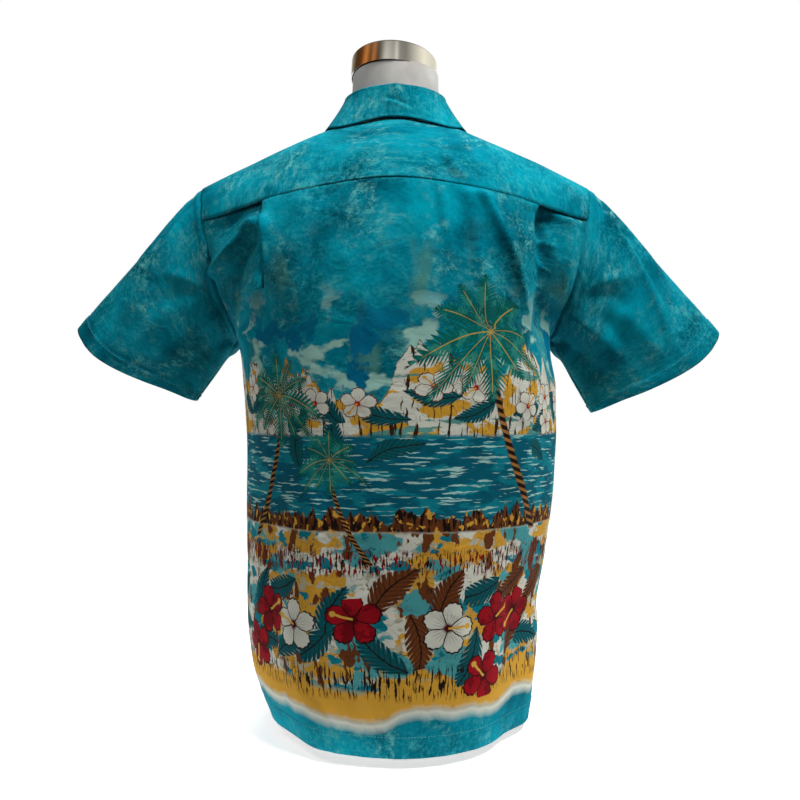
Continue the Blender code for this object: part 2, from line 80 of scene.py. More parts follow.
def add(tree, kind, *values, named=(), stops=(), **more):
    """Adds a node, such as Mix, VectorMath SCALE or, for a Math node, SINE, and feeds it. More has its inputs, which
    have capitals, and its settings; stops are a ramp's. Gives its first output."""
    kind, *operation = ("Math " + kind if kind.isupper() else kind).split()
    node = tree.nodes.new("ShaderNode" + kind)
    if operation:
        node.operation = operation[0]
    inputs = dict(named)
    for name, value in more.items():
        if name.istitle():
            inputs[name] = value
        else:
            setattr(node, name, value)
    if stops:
        ramp = node.color_ramp.elements
        (ramp[0].position, first), (ramp[1].position, last) = stops[0], stops[-1]
        ramp[0].color, ramp[1].color = linear(first), linear(last)
        for place, tone in stops[1:-1]:
            ramp.new(place).color = linear(tone)
    feed(node, *values, named=inputs)
    return next(output for output in node.outputs if output.enabled)


def new_material(name):
    """An empty material: gives its node tree and its shader."""
    material = bpy.data.materials.new(name)
    material.use_nodes = True
    tree = material.node_tree
    return material, tree, tree.nodes["Principled BSDF"]


def made(name, shape, *materials, sharp=0):
    """The object of a finished shape, smooth but for edges that turn by more than an angle, in degrees."""
    mesh = bpy.data.meshes.new(name)
    shape.to_mesh(mesh)
    shape.free()
    mesh.shade_smooth()
    if sharp:
        mesh.set_sharp_from_angle(angle=math.radians(sharp))
    for material in materials:
        mesh.materials.append(material)
    piece = bpy.data.objects.new(name, mesh)
    bpy.context.scene.collection.objects.link(piece)
    return piece


def lamp(name, place, aim, size, watts):
    light = bpy.data.lights.new(name, "AREA")
    light.size = size
    light.energy = watts
    holder = bpy.data.objects.new(name, light)
    holder.location = place
    holder.visible_glossy = False
    holder.rotation_euler = (Vector(aim) - Vector(place)).to_track_quat("-Z", "Y").to_euler()
    bpy.context.scene.collection.objects.link(holder)


camera_data = bpy.data.cameras.new("camera")
camera_data.lens = VIEW_LENS
camera = bpy.data.objects.new("camera", camera_data)
camera.location = VIEW_FROM
camera.rotation_euler = (math.pi / 2, 0, math.pi)
bpy.context.scene.collection.objects.link(camera)
bpy.context.scene.camera = camera

world = bpy.data.worlds.new("studio")
world.use_nodes = True
tree = world.node_tree
ambient = add(tree, "Background", linear("#F4F6F8"), 0.07)
paper_white = add(tree, "Background", linear("#FFFFFF"), 1.0)
way = add(tree, "SeparateXYZ", add(tree, "TexCoord").node.outputs["Generated"]).node.outputs
turn = add(tree, "MapRange", ("ARCTAN2", way[0], way[1]), -math.pi, math.pi)
walls = add(tree, "ValToRGB", turn, stops=ROOM)
overhead = add(tree, "MapRange", way[2], 0.6, 0.9)
walls = add(tree, "Mix", overhead, data_type="RGBA", named={COLOUR_A: walls, COLOUR_B: linear("#6E6E6A")})
rays = add(tree, "LightPath").node.outputs
around = add(tree, "MixShader", rays["Is Glossy Ray"], ambient, ("Background", walls, 1.5))
feed(tree.nodes["World Output"], add(tree, "MixShader", rays["Is Camera Ray"], around, paper_white))
bpy.context.scene.world = world
bpy.context.scene.view_settings.view_transform = "Standard"

lamp("key", (-1.00, 0.84, 2.40), (0.0, 0.0, 0.5), 0.7, 57)
lamp("second ceiling lamp", (1.10, 0.95, 2.20), (0.1, 0.0, 0.5), 0.6, 12)
lamp("before the shirt", (0.5, -1.7, 1.8), (0.0, 0.0, 0.4), 0.9, 13)
lamp("over the floor", (0.0, -0.7, 2.6), (0.0, -0.7, 0.0), 1.2, 22)

FLOOR_CENTRE, FLOOR_SIZE = (0, -0.595, -0.0005), (2.8, 1.61, 1, 1)
acrylic, tree, shader = new_material("lit_white_acrylic")
lit = {"Emission Color": linear("#FFFFFF"), "Emission Strength": 0.60}
feed(shader, named={"Base Color": linear("#FAFAFA"), "Roughness": 0.9, **lit})
floor_shape = bmesh.new()
bmesh.ops.create_grid(
    floor_shape, x_segments=1, y_segments=1, size=0.5,
    matrix=Matrix.Translation(FLOOR_CENTRE) @ Matrix.Diagonal(FLOOR_SIZE),
)  # fmt: skip
pale_floor = made("pale_floor", floor_shape, acrylic)

# ---- Back ----------------------------------------------------------------------------------------------------
# One panel of plain-weave cotton from the yoke seam to the hem, with a knife pleat under each shoulder blade. Its
# cut edge is turned up twice and stitched at the hem. It hangs from the yoke and stands off the form.

CLOTH = 0.0006  # thickness of the cotton
HEM_HEIGHT = 0.012
HEM_TILT = 0.005  # how much higher it hangs on the wearer's left
CHEST = 0.475  # height of the ring at the underarms
SHOULDER_TOP = 0.7760
SHOULDER_SLOPE = 0.46
SHOULDER_BLEND = 0.05  # how broadly the two slopes are rounded into each other
SHOULDER_ROUND = 2.2  # squareness of the curve over a shoulder from front to back
BODY = np.array(
    [
        # height of the ring at the centre, half widths, depths behind and before the axis, squareness of the ring
        (0.005, 0.156, 0.163, 0.149, 0.146, 2.05),
        (0.05, 0.173, 0.168, 0.15, 0.148, 2.1),
        (0.1, 0.182, 0.17, 0.149, 0.149, 2.15),
        (0.16, 0.184, 0.175, 0.147, 0.149, 2.2),
        (0.21, 0.184, 0.185, 0.146, 0.149, 2.2),
        (0.27, 0.185, 0.194, 0.144, 0.148, 2.2),
        (0.345, 0.186, 0.2, 0.142, 0.148, 2.25),
        (0.41, 0.189, 0.2, 0.141, 0.147, 2.35),
        (0.475, 0.198, 0.197, 0.14, 0.145, 2.4),
        (0.505, 0.21, 0.209, 0.14, 0.144, 2.4),
        (0.536, 0.222, 0.221, 0.14, 0.143, 2.4),
        (0.585, 0.237, 0.237, 0.14, 0.142, 2.4),
        (0.64, 0.251, 0.251, 0.14, 0.141, 2.4),
        (0.695, 0.262, 0.262, 0.14, 0.14, 2.4),
        (0.753, 0.272, 0.272, 0.14, 0.14, 2.4),
    ],
    dtype=[(n, float) for n in ("height", "left", "right", "back", "front", "square")],
)
PEAK = BODY["height"][-1]
ARMHOLE_TURN = math.radians(30)  # how far round from the side it is at its top
ARMHOLE_SCOOP = 2.5  # fullness of its curve
YOKE_SEAM_CENTRE = 0.608  # as a share of the way from the chest to the highest ring
YOKE_SEAM_RISE = 0.030  # what it gains beside the centre
YOKE_SEAM_END = 0.065  # and what it gains towards the armhole
YOKE_HALF_WIDTH = 0.225
PLEAT_LEFT, PLEAT_RIGHT = 0.150, 0.163  # from the centre to each pleat's fold
PLEAT_DEPTH = 0.015  # cloth folded under
PLEAT_LAYERS = 0.0020  # how far the top layer stands out
PLEAT_TURN = 0.0009  # half width of each turn of the cloth
PLEAT_END = 0.44  # height at which it has opened out
QUARTER = math.pi / 2
YOKE_LEVEL = CHEST + YOKE_SEAM_CENTRE * (PEAK - CHEST)
HEM_WAVES = [(7, 0.0030, 0.6), (11, 0.0018, 2.1)]  # how many go round the hem, how deep, and where they start
HEM_WIDTH = 0.025
HEM_LAYER = 0.0005  # how far a hem's turned-up cloth pushes it out
STITCH_PULL = 0.0006  # how far its stitches draw it in
PUCKER, PUCKERS_APART = 0.0009, 0.009
RIPPLE_CELLS = 64  # after which a ripple repeats
BOLT_QUARTER = 0.27  # cloth from the centre back to a side seam


def through(table, key, values, at):
    """Reads a column of a table at any keys, on a smooth curve through its rows."""
    keys, values = table[key], table[values]
    slopes = np.gradient(values, keys)
    i = np.clip(np.searchsorted(keys, at) - 1, 0, len(keys) - 2)
    span = keys[i + 1] - keys[i]
    t = np.clip((at - keys[i]) / span, 0.0, 1.0)
    start = (2 * t**3 - 3 * t**2 + 1) * values[i] + (t**3 - 2 * t**2 + t) * span * slopes[i]
    return start + (3 * t**2 - 2 * t**3) * values[i + 1] + (t**3 - t**2) * span * slopes[i + 1]


def ease(low, high, at):
    """0 below low, 1 above high and a smooth rise between."""
    t = np.clip((at - low) / (high - low), 0.0, 1.0)
    return t * t * (3 - 2 * t)


def bump(centre, half_width, at):
    """1 at the centre, falling away smoothly on both sides."""
    return np.exp(-(((at - centre) / half_width) ** 2))


def shoulder_line(x):
    """Height of the top of the shoulders."""
    return SHOULDER_TOP - SHOULDER_SLOPE * np.sqrt(x * x + SHOULDER_BLEND**2)


def rise_of(height):
    """Share of the way from the chest to the highest ring."""
    return np.clip((height - CHEST) / (PEAK - CHEST), 0.0, 1.0)


def leaning(x, rise):
    """Height of a ring above the chest: level there, and leaning in to the shoulder line further up."""
    lean = ease(0.0, 0.25, rise)
    return CHEST + rise * ((PEAK - CHEST) * (1 - lean) + (shoulder_line(x) - CHEST) * lean)


def ring_size(x, y, height):
    """Half width, depth and squareness of a ring, on the side of the axis that x and y are on."""
    left, right, back, front = (through(BODY, "height", n, height) for n in ("left", "right", "back", "front"))
    return np.where(x >= 0, left, right), np.where(y >= 0, back, front), through(BODY, "height", "square", height)


def worn(angle, height):
    """Points of the body's cloth. The angle goes round from the wearer's left side, by the back; the height is the
    ring's at the centre."""
    across, along = np.cos(angle), np.sin(angle)
    width, depth, square = ring_size(across, along, height)
    rise = rise_of(height)
    x = np.sign(across) * width * np.abs(across) ** (2 / square)
    y = np.sign(along) * depth * np.abs(along) ** (2 / square)
    y = y * (1 - rise**SHOULDER_ROUND) ** (1 / SHOULDER_ROUND)
    z = np.where(height <= CHEST, height, leaning(x, rise))
    z = z + HEM_TILT * (1 - ease(0.0, 0.2, height)) * ease(0.0, 1.0, across)
    return np.stack([x, y, z], axis=-1)


def armhole_angle(height):
    """How far round from the side the armhole's edge is at a ring."""
    return ARMHOLE_TURN * np.sqrt(1 - (1 - rise_of(height)) ** ARMHOLE_SCOOP)


def angle_at(x, height, side="left"):
    """How far round from the side a ring is at this distance from the centre."""
    square = through(BODY, "height", "square", height)
    return np.arccos((np.abs(x) / through(BODY, "height", side, height)) ** (square / 2))


def soft_folds(points, angle, height):
    """Broad vertical folds of the hanging cloth, deepest at the hem and shallow at the centre back."""
    low = 1 - ease(0.05, 0.42, height)
    wave = sum(depth * np.sin(count * angle + start) for count, depth, start in HEM_WAVES)
    outward = points * (1, 1, 0) / np.linalg.norm(points[..., :2], axis=-1)[..., None]
    return points + outward * (low * wave * (1 - 0.7 * bump(QUARTER, 0.5, angle)))[..., None]


def ripple(x, y, size, seed):
    """Smooth random hills and hollows between -1 and 1, about as far apart as size."""
    cells = RIPPLE_CELLS
    lattice = np.random.default_rng(seed).uniform(-1, 1, (cells, cells))
    i, j = np.floor(x / size).astype(int), np.floor(y / size).astype(int)
    s, t = ease(0, 1, x / size - i), ease(0, 1, y / size - j)
    corner = [lattice[(i + a) % cells, (j + b) % cells] for a in (0, 1) for b in (0, 1)]
    return (corner[0] * (1 - t) + corner[1] * t) * (1 - s) + (corner[2] * (1 - t) + corner[3] * t) * s


def creased(across, up, creases):
    """How far the creases of a table push the cloth out. Across and up are the two directions that its rows use."""
    push = np.zeros(np.shape(across))
    names = ("x", "y", "to_x", "to_y", "bow", "half_width", "rise")
    for crease in np.array(creases, dtype=[(n, float) for n in names]):
        run_x, run_y = crease["to_x"] - crease["x"], crease["to_y"] - crease["y"]
        length = math.hypot(run_x, run_y)
        reach_x, reach_y = across - crease["x"], up - crease["y"]
        along = (reach_x * run_x + reach_y * run_y) / length**2
        aside = (reach_x * run_y - reach_y * run_x) / length - crease["bow"] * 4 * along * (1 - along)
        ends = ease(-0.08, 0.12, along) * (1 - ease(0.55, 1.05, along))
        sharp_crest = np.exp(-(((aside / crease["half_width"]) ** 2 + 0.02) ** 0.75))
        push += crease["rise"] * ends * sharp_crest
    return push


def cloth(name, columns, rows, place, relief, bolt, material, thick=CLOTH):
    """A sheet of cloth: place(u, v) gives its middle, u to the right of its outer side and v up, relief(u, v, points)
    how far it is pushed out from there, and bolt(u, v) where on the printed cloth it was cut, as its UV map.
    Gives the piece, its points and its normals."""
    shape = bmesh.new()
    bmesh.ops.create_grid(shape, x_segments=columns, y_segments=rows, size=0.5)
    u, v = (np.array([vertex.co[:2] for vertex in shape.verts]) + 0.5).T
    points = place(u, v)
    grid = points.reshape(rows + 1, columns + 1, 3)
    normals = np.cross(np.gradient(grid, axis=1), np.gradient(grid, axis=0))
    if np.allclose(grid[:, 0], grid[:, -1], atol=1e-6):
        normals[:, 0] = normals[:, -1] = normals[:, 0] + normals[:, -1]
    normals = (normals / np.linalg.norm(normals, axis=-1, keepdims=True)).reshape(-1, 3)
    points = points + normals * relief(u, v, points)[:, None]
    on_bolt = np.stack(bolt(u, v), axis=-1)
    print_map = shape.loops.layers.uv.new("print")
    for vertex, point in zip(shape.verts, points):
        vertex.co = point
    shape.verts.index_update()
    for face in shape.faces:
        for loop in face.loops:
            loop[print_map].uv = on_bolt[loop.vert.index]
    bmesh.ops.remove_doubles(shape, verts=shape.verts, dist=1e-6)
    piece = made(name, shape, material)
    wall = piece.modifiers.new("Thickness", "SOLIDIFY")
    wall.thickness = thick
    wall.offset = 0.0
    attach(piece, "root")
    return piece, points.reshape(rows + 1, columns + 1, 3), normals.reshape(rows + 1, columns + 1, 3)


def band(tree, height, low, high, soft=0.002):
    """A mask that is 1 where a height is between two others, which may be fields."""
    inside = add(tree, "MINIMUM", ("SUBTRACT", height, low), ("SUBTRACT", high, height))
    return add(tree, "MapRange", inside, -soft, soft)


def blots(tree, place, stretch, low, high, shift=0.0):
    """A mask of torn blots or strokes: noise with this many cells for each metre, cut off between two values."""
    moved = add(tree, "Mapping", place, (shift, shift, 0.0), None, (*stretch, 1.0))
    noise = add(tree, "TexNoise", moved, noise_dimensions="2D", Scale=1.0, Detail=4.0)
    return add(tree, "MapRange", noise, low, high)


def sponged(tree, place, scale, low, high):
    """A mask of crumbly dabs, as a dry sponge leaves them."""
    noise = add(tree, "TexNoise", place, noise_dimensions="2D", Scale=scale, Detail=8.0, Roughness=0.85)
    return add(tree, "MapRange", noise, low, high)


def inked(tree, place, scale):
    """A mask of thin, broken pen lines that wind about like contours."""
    noise = add(tree, "TexNoise", place, noise_dimensions="2D", Scale=scale, Detail=1.5)
    contours = add(tree, "PINGPONG", ("MULTIPLY", noise, 7.0), 0.5)
    return both(tree, ("MapRange", contours, 0.030, 0.012), blots(tree, place, (45, 45), 0.46, 0.52, 31.0))


def wandering(tree, x, height, rise, **noise):
    """A height that wanders up and down along the cloth."""
    noise = add(tree, "TexNoise", None, x, noise_dimensions="1D", **noise)
    return add(tree, "MULTIPLY_ADD", noise, rise, height)


def both(tree, *masks):
    """Where all of these masks are."""
    joined = masks[0]
    for mask in masks[1:]:
        joined = add(tree, "MULTIPLY", joined, mask)
    return joined


def new_motif(name, *screens):
    """A node group that draws one motif of the print, about a unit in size: gives its tree, x, y and outlet."""
    group = bpy.data.node_groups.new(name, "ShaderNodeTree")
    group.interface.new_socket("Place", in_out="INPUT", socket_type="NodeSocketVector")
    for screen in screens:
        group.interface.new_socket(screen, in_out="OUTPUT", socket_type="NodeSocketFloat")
    parts = add(group, "SeparateXYZ", group.nodes.new("NodeGroupInput").outputs[0]).node
    return group, parts.outputs[0], parts.outputs[1], group.nodes.new("NodeGroupOutput")


def polar(tree, x, y):
    """Angle and distance from the middle of a motif."""
    square = add(tree, "MULTIPLY_ADD", y, y, ("MULTIPLY", x, x))
    return add(tree, "ARCTAN2", y, x), add(tree, "POWER", square, 0.5)


FRONDS, PETALS = 11, 5
STAMENS = 0.72  # length of a hibiscus's column


def palm_motif():
    """A coconut palm: its crown is at zero and its fronds are 1 long, and its trunk bends down to the right."""
    tree, x, y, outlet = new_motif("palm", "Trunk", "Rings", "Fronds", "Blades", "Ribs")
    lean = add(tree, "MULTIPLY_ADD", ("MULTIPLY", y, y), -0.13, x)
    thick = add(tree, "MULTIPLY_ADD", y, -0.016, 0.030)
    past = add(tree, "SUBTRACT", ("ABSOLUTE", lean), thick)
    trunk = both(tree, ("MapRange", past, 0.010, -0.010), band(tree, y, -2.7, 0.0, 0.02))
    ringed = add(tree, "MULTIPLY_ADD", lean, 22.0, ("MULTIPLY", y, 55.0))
    rings = add(tree, "MapRange", ("SINE", ringed), 0.1, 0.3)
    angle, reach = polar(tree, x, add(tree, "MULTIPLY_ADD", ("MULTIPLY", x, x), 0.55, y))
    turn = add(tree, "MULTIPLY_ADD", angle, FRONDS / (2 * math.pi), 20.0)
    uneven = add(tree, "SINE", ("MULTIPLY", angle, 3.0))
    turn = add(tree, "MULTIPLY_ADD", uneven, 0.22, turn)
    length = add(tree, "TexWhiteNoise", None, ("FLOOR", turn), noise_dimensions="1D")
    along = add(tree, "DIVIDE", reach, ("MapRange", length, 0.0, 1.0, 0.72, 1.05))
    aside = add(tree, "ABSOLUTE", ("SUBTRACT", ("FRACT", turn), 0.5))
    aside = add(tree, "MULTIPLY", ("MULTIPLY", aside, reach), 2 * math.pi / FRONDS)
    belly = add(tree, "SINE", ("MULTIPLY", along, math.pi * 0.98))
    belly = add(tree, "MULTIPLY_ADD", belly, 0.19, 0.012)
    leaflets = add(tree, "MULTIPLY", ("MULTIPLY_ADD", aside, -1.3, along), 15.0)
    leaflets = add(tree, "MapRange", ("PINGPONG", leaflets, 0.5), 0.0, 0.5, 0.10, 1.30)
    over = add(tree, "SUBTRACT", aside, ("MULTIPLY", belly, leaflets))
    blades = both(tree, ("MapRange", over, 0.006, -0.006), ("MapRange", along, 1.0, 0.97))
    inner = both(tree, ("MapRange", over, -0.012, -0.020), ("MapRange", along, 0.97, 0.94))
    ribs = both(tree, ("MapRange", aside, 0.007, 0.003), ("MapRange", along, 0.85, 0.80))
    feed(outlet, trunk, rings, blades, inner, ribs)
    return tree


def hibiscus_motif():
    """A hibiscus from the front: five ruffled petals, a dark throat and one long column of stamens."""
    tree, x, y, outlet = new_motif("hibiscus", "Petals", "Lines", "Throat", "Stamens")
    angle, reach = polar(tree, x, y)
    lobes = add(tree, "ABSOLUTE", ("COSINE", ("MULTIPLY", angle, PETALS / 2)))
    ruffle = add(tree, "SINE", ("MULTIPLY", angle, 6 * PETALS))
    petal = add(tree, "MULTIPLY_ADD", ("POWER", lobes, 0.6), 0.42, 0.52)
    past = add(tree, "SUBTRACT", reach, ("MULTIPLY_ADD", ruffle, 0.018, petal))
    petals = add(tree, "MapRange", past, 0.02, -0.02)
    edge = add(tree, "MapRange", ("ABSOLUTE", past), 0.045, 0.02)
    clefts = add(tree, "MapRange", ("MULTIPLY", lobes, reach), 0.07, 0.04)
    veins = add(tree, "MapRange", ("SINE", ("MULTIPLY", angle, 5 * PETALS)), 0.80, 0.95)
    inside = add(tree, "MAXIMUM", clefts, both(tree, veins, ("MapRange", reach, 0.62, 0.3)))
    lines = add(tree, "MAXIMUM", edge, both(tree, inside, petals))
    throat = add(tree, "MapRange", reach, 0.22, 0.12)
    column = both(tree, band(tree, y, -0.045, 0.045, 0.01), band(tree, x, 0.0, STAMENS, 0.01))
    knob = add(tree, "MapRange", polar(tree, add(tree, "SUBTRACT", x, STAMENS), y)[1], 0.13, 0.09)
    feed(outlet, petals, lines, throat, add(tree, "MAXIMUM", column, knob))
    return tree


def leaf_motif():
    """A broad leaf, 2 long, with its ribs."""
    tree, x, y, outlet = new_motif("broad_leaf", "Blade", "Ribs")
    bent = add(tree, "MULTIPLY", x, x)
    swell = add(tree, "MULTIPLY_ADD", bent, -0.40, 0.40)
    side = add(tree, "ABSOLUTE", ("MULTIPLY_ADD", bent, 0.22, y))
    slant = add(tree, "MULTIPLY", ("MULTIPLY_ADD", side, -1.1, x), 5.5)
    slant = add(tree, "PINGPONG", slant, 0.5)
    notched = add(tree, "MULTIPLY", swell, ("MapRange", slant, 0.0, 0.16, 0.55, 1.0))
    blade = add(tree, "MapRange", ("SUBTRACT", side, notched), 0.012, -0.012)
    middle, sides = add(tree, "MapRange", side, 0.028, 0.016), add(tree, "MapRange", slant, 0.42, 0.46)
    feed(outlet, blade, both(tree, ("MAXIMUM", middle, sides), blade))
    return tree


MOTIFS = {"palm": palm_motif(), "hibiscus": hibiscus_motif(), "leaf": leaf_motif()}


def drawn(tree, motif, place):
    """The masks of one motif, drawn at a place."""
    return add(tree, "Group", place, node_tree=MOTIFS[motif]).node.outputs


def strewn(tree, motif, place, apart, size, low, high, shift):
    """The masks of a motif strewn over the cloth, turned every way, where its middle is between two heights."""
    moved = add(tree, "VectorMath ADD", place, (shift, 0.0, 0.0))
    spots = add(tree, "TexVoronoi", moved, voronoi_dimensions="2D", Scale=1 / apart, Randomness=0.75)
    middle = spots.node.outputs["Position"]
    tones = add(tree, "SeparateColor", spots.node.outputs["Color"]).node.outputs
    offset = add(tree, "VectorMath SUBTRACT", moved, middle)
    angle = add(tree, "MULTIPLY", tones[0], 2 * math.pi)
    turned = add(tree, "VectorRotate", offset, rotation_type="Z_AXIS", Angle=angle)
    local = add(tree, "VectorMath SCALE", turned, Scale=1 / size)
    here = band(tree, add(tree, "SeparateXYZ", middle).node.outputs[1], low, high, 0.0005)
    return [both(tree, mask, here) for mask in drawn(tree, motif, local)], tones


PALMS = [
    # crown's x, y on the bolt, length of its fronds, and 1 or -1 for the way that its trunk bends
    (0.085, 0.47, 0.082, 1), (-0.12, 0.40, 0.060, -1), (-0.06, 0.33, 0.042, 1), (0.40, 0.46, 0.080, -1),
    (0.49, 0.37, 0.055, 1), (0.70, 0.46, 0.080, 1), (0.80, 0.38, 0.055, -1),
]  # fmt: skip
BLACK, PEN, BROWN, OCHRE, CREAM = "#1E1410", "#2A1A12", "#6B3A1E", "#D8A23A", "#DCDCCD"
LEAF_GREEN, RED = "#0E5960", "#A3121F"


def printed_cotton():
    """Plain-weave cotton, screen printed: matt, with a faint dry sheen. The ground is mottled like a wash of paint,
    and a border of islands, palms and flowers is printed over its lower half, a screen for each ink. The threads are
    drawn 0.7 mm apart, as coarse as they need to be to show."""
    material, tree, shader = new_material("printed_plain_weave_cotton")
    bolt = add(tree, "UVMap", uv_map="print")
    shake = add(tree, "TexNoise", bolt, noise_dimensions="2D", Scale=130.0, Detail=2.0).node
    shake = add(tree, "VectorMath SUBTRACT", shake.outputs["Color"], (0.5, 0.5, 0.5))
    place = add(tree, "VectorMath MULTIPLY_ADD", shake, (0.0020,) * 3, bolt)
    x, y = add(tree, "SeparateXYZ", place).node.outputs[:2]

    wash = add(tree, "TexNoise", bolt, Scale=13.0, Detail=7.0, Roughness=0.62, Distortion=0.3)
    grain = add(tree, "TexNoise", bolt, noise_dimensions="2D", Scale=260.0, Detail=5.0, Roughness=0.7)
    wash = add(tree, "SUBTRACT", ("MULTIPLY_ADD", grain, 0.24, wash), 0.12)
    colour = add(tree, "ValToRGB", wash, stops=[(0.30, "#004C5C"), (0.50, "#017F93"), (0.70, "#04A2B6")])

    sky = band(tree, y, 0.34, 0.57, 0.04)
    low_sky = band(tree, y, 0.34, 0.50, 0.03)
    ridge = wandering(tree, x, 0.295, 0.26, Scale=11.0, Detail=4.0, Roughness=0.6)
    hills = band(tree, y, 0.352, ridge, 0.001)
    outline = band(tree, y, add(tree, "SUBTRACT", ridge, 0.0012), ridge, 0.0005)
    waves = band(tree, y, 0.262, 0.356)
    far_shore = band(tree, y, 0.247, wandering(tree, x, 0.240, 0.060, Scale=60.0, Detail=3.0), 0.001)
    low_edge = wandering(tree, x, 0.032, 0.055, Scale=9.0, Detail=3.0)
    sand = band(tree, y, low_edge, 0.252, 0.0015)
    beach = band(tree, y, low_edge, add(tree, "ADD", low_edge, 0.030), 0.004)
    foam = band(tree, y, add(tree, "SUBTRACT", low_edge, 0.010), low_edge, 0.005)
    leaves, leaf_tones = strewn(tree, "leaf", place, 0.054, 0.035, 0.085, 0.215, 0.31)
    sprays, _ = strewn(tree, "leaf", place, 0.046, 0.026, 0.34, 0.40, 0.77)
    flowers, flower_tones = strewn(tree, "hibiscus", place, 0.066, 0.030, 0.085, 0.195, 0.13)
    buds, _ = strewn(tree, "hibiscus", place, 0.048, 0.018, 0.365, 0.420, 0.57)
    red_flowers = both(tree, flowers[0], ("GREATER_THAN", flower_tones[1], 0.40))
    brown_leaves = both(tree, leaves[0], ("GREATER_THAN", leaf_tones[1], 0.55))
    reeds = band(tree, y, 0.205, 0.232, 0.003)
    grass = band(tree, y, 0.075, 0.108, 0.004)

    washes = [
        # where a screen lets its ink through, the ink, and the blots that it is torn into, where it is
        (sponged(tree, bolt, 75, 0.50, 0.62), "#62B6B4", (22, 14), 0.46, 0.66),
        (sponged(tree, bolt, 130, 0.48, 0.66), "#2FA3AA", (9, 14), 0.40, 0.62, 3),
        (sky, "#4B8C84", (34, 12), 0.56, 0.80, 5),
        (low_sky, "#9CCBBE", (22, 30), 0.58, 0.64, 8),
        (low_sky, "#056C8E", (26, 20), 0.60, 0.63, 11),
    ]
    screens = [
        (hills, "#D9DACB"),
        (hills, OCHRE, (26, 40), 0.54, 0.56, 2),
        (hills, "#5F9A90", (18, 60), 0.60, 0.62, 14),
        (hills, "#3A2114", (330, 26), 0.60, 0.63, 3),
        (both(tree, hills, inked(tree, place, 55.0)), PEN),
        (outline, BLACK),
        (waves, "#0C5E72"),
        (waves, "#12808F", (22, 60), 0.50, 0.56, 1),
        (waves, "#A8D3CB", (30, 330), 0.60, 0.63, 6),
        (far_shore, BROWN),
        (far_shore, BLACK, (300, 60), 0.50, 0.53, 4),
        (far_shore, OCHRE, (160, 90), 0.60, 0.62, 9),
        (sand, CREAM),
        (sand, OCHRE, (17, 24), 0.50, 0.52, 7),
        (sand, "#B9B49A", (60, 90), 0.60, 0.62, 12),
        (sand, "#4FA3A6", (16, 22), 0.54, 0.57, 17),
        (sand, "#0E7F8E", (30, 44), 0.60, 0.62, 23),
        (sand, BROWN, (60, 30), 0.60, 0.62, 27),
        (both(tree, sand, inked(tree, place, 42.0)), PEN),
        (reeds, "#8C1A1C", (380, 70), 0.57, 0.60, 10),
        (reeds, BLACK, (420, 80), 0.58, 0.61, 13),
        (foam, CREAM),
        (beach, OCHRE),
        (leaves[0], LEAF_GREEN),
        (brown_leaves, BROWN),
        (leaves[1], BLACK),
        (grass, BLACK, (420, 50), 0.55, 0.58, 16),
        *zip(sprays, (LEAF_GREEN, BLACK)),
        *zip(buds, (CREAM, BROWN, RED, OCHRE)),
        (flowers[0], CREAM),
        (red_flowers, RED),
        (red_flowers, "#7C0D18", (60, 60), 0.52, 0.56, 18),
        *zip(flowers[1:], ("#2A0F0E", "#4A0A10", "#E0B04A")),
    ]
    for crown_x, crown_y, length, way in PALMS:
        local = add(tree, "VectorMath SUBTRACT", bolt, (crown_x, crown_y, 0.0))
        local = add(tree, "VectorMath MULTIPLY", local, (way / length, 1 / length, 1.0))
        trunk, rings, fronds, blades, ribs = drawn(tree, "palm", local)
        screens += [(trunk, "#241610"), (both(tree, trunk, rings), "#A8743A"), (fronds, "#141A16")]
        screens += [(blades, "#0F6B60"), (blades, "#2E8F7C", (70, 70), 0.52, 0.56, 15), (ribs, "#C9A24E")]
    for field, inks in ((bolt, washes), (place, screens)):
        for mask, ink, *torn in inks:
            mask = both(tree, mask, blots(tree, field, *torn)) if torn else mask
            colour = add(tree, "Mix", mask, data_type="RGBA", named={COLOUR_A: colour, COLOUR_B: linear(ink)})
    rumples = add(tree, "TexNoise", bolt, Scale=24.0, Detail=3.0, Distortion=0.8)
    threads = add(tree, "TexNoise", bolt, Scale=1400.0, Detail=2.0)
    lift = add(tree, "Bump", 0.5, 0.006, Height=rumples)
    lift = add(tree, "Bump", 0.25, 0.0004, Height=threads, Normal=lift)
    feed(shader, named={"Base Color": colour, "Normal": lift, "Roughness": 0.80, "Specular IOR Level": 0.05})
    feed(shader, named={"Sheen Weight": 0.06, "Sheen Roughness": 0.5, "Sheen Tint": linear("#2FB0BE")})
    return material


cotton = printed_cotton()


def spun_thread():
    """Spun polyester sewing thread, dyed to the ground colour: its two twisted strands catch the light in turn, which
    is painted as a paler highlight tone in fine noise.
    """
    material, tree, shader = new_material("spun_polyester_thread")
    place = add(tree, "TexCoord").node.outputs["Object"]
    painted_ply_glints = add(tree, "TexNoise", place, Scale=2500.0, Detail=1.0)
    # painted highlight: the paler stop is light caught by the thread's strands, and the darker stop is its dye
    tone = add(tree, "ValToRGB", painted_ply_glints, stops=[(0.35, "#1F8793"), (0.65, "#6FBFC6")])
    feed(shader, named={"Base Color": tone, "Roughness": 0.6, "Sheen Weight": 0.2})
    return material


thread = spun_thread()
STITCH, STITCH_PITCH, THREAD_RADIUS = 0.0026, 0.0036, 0.00026


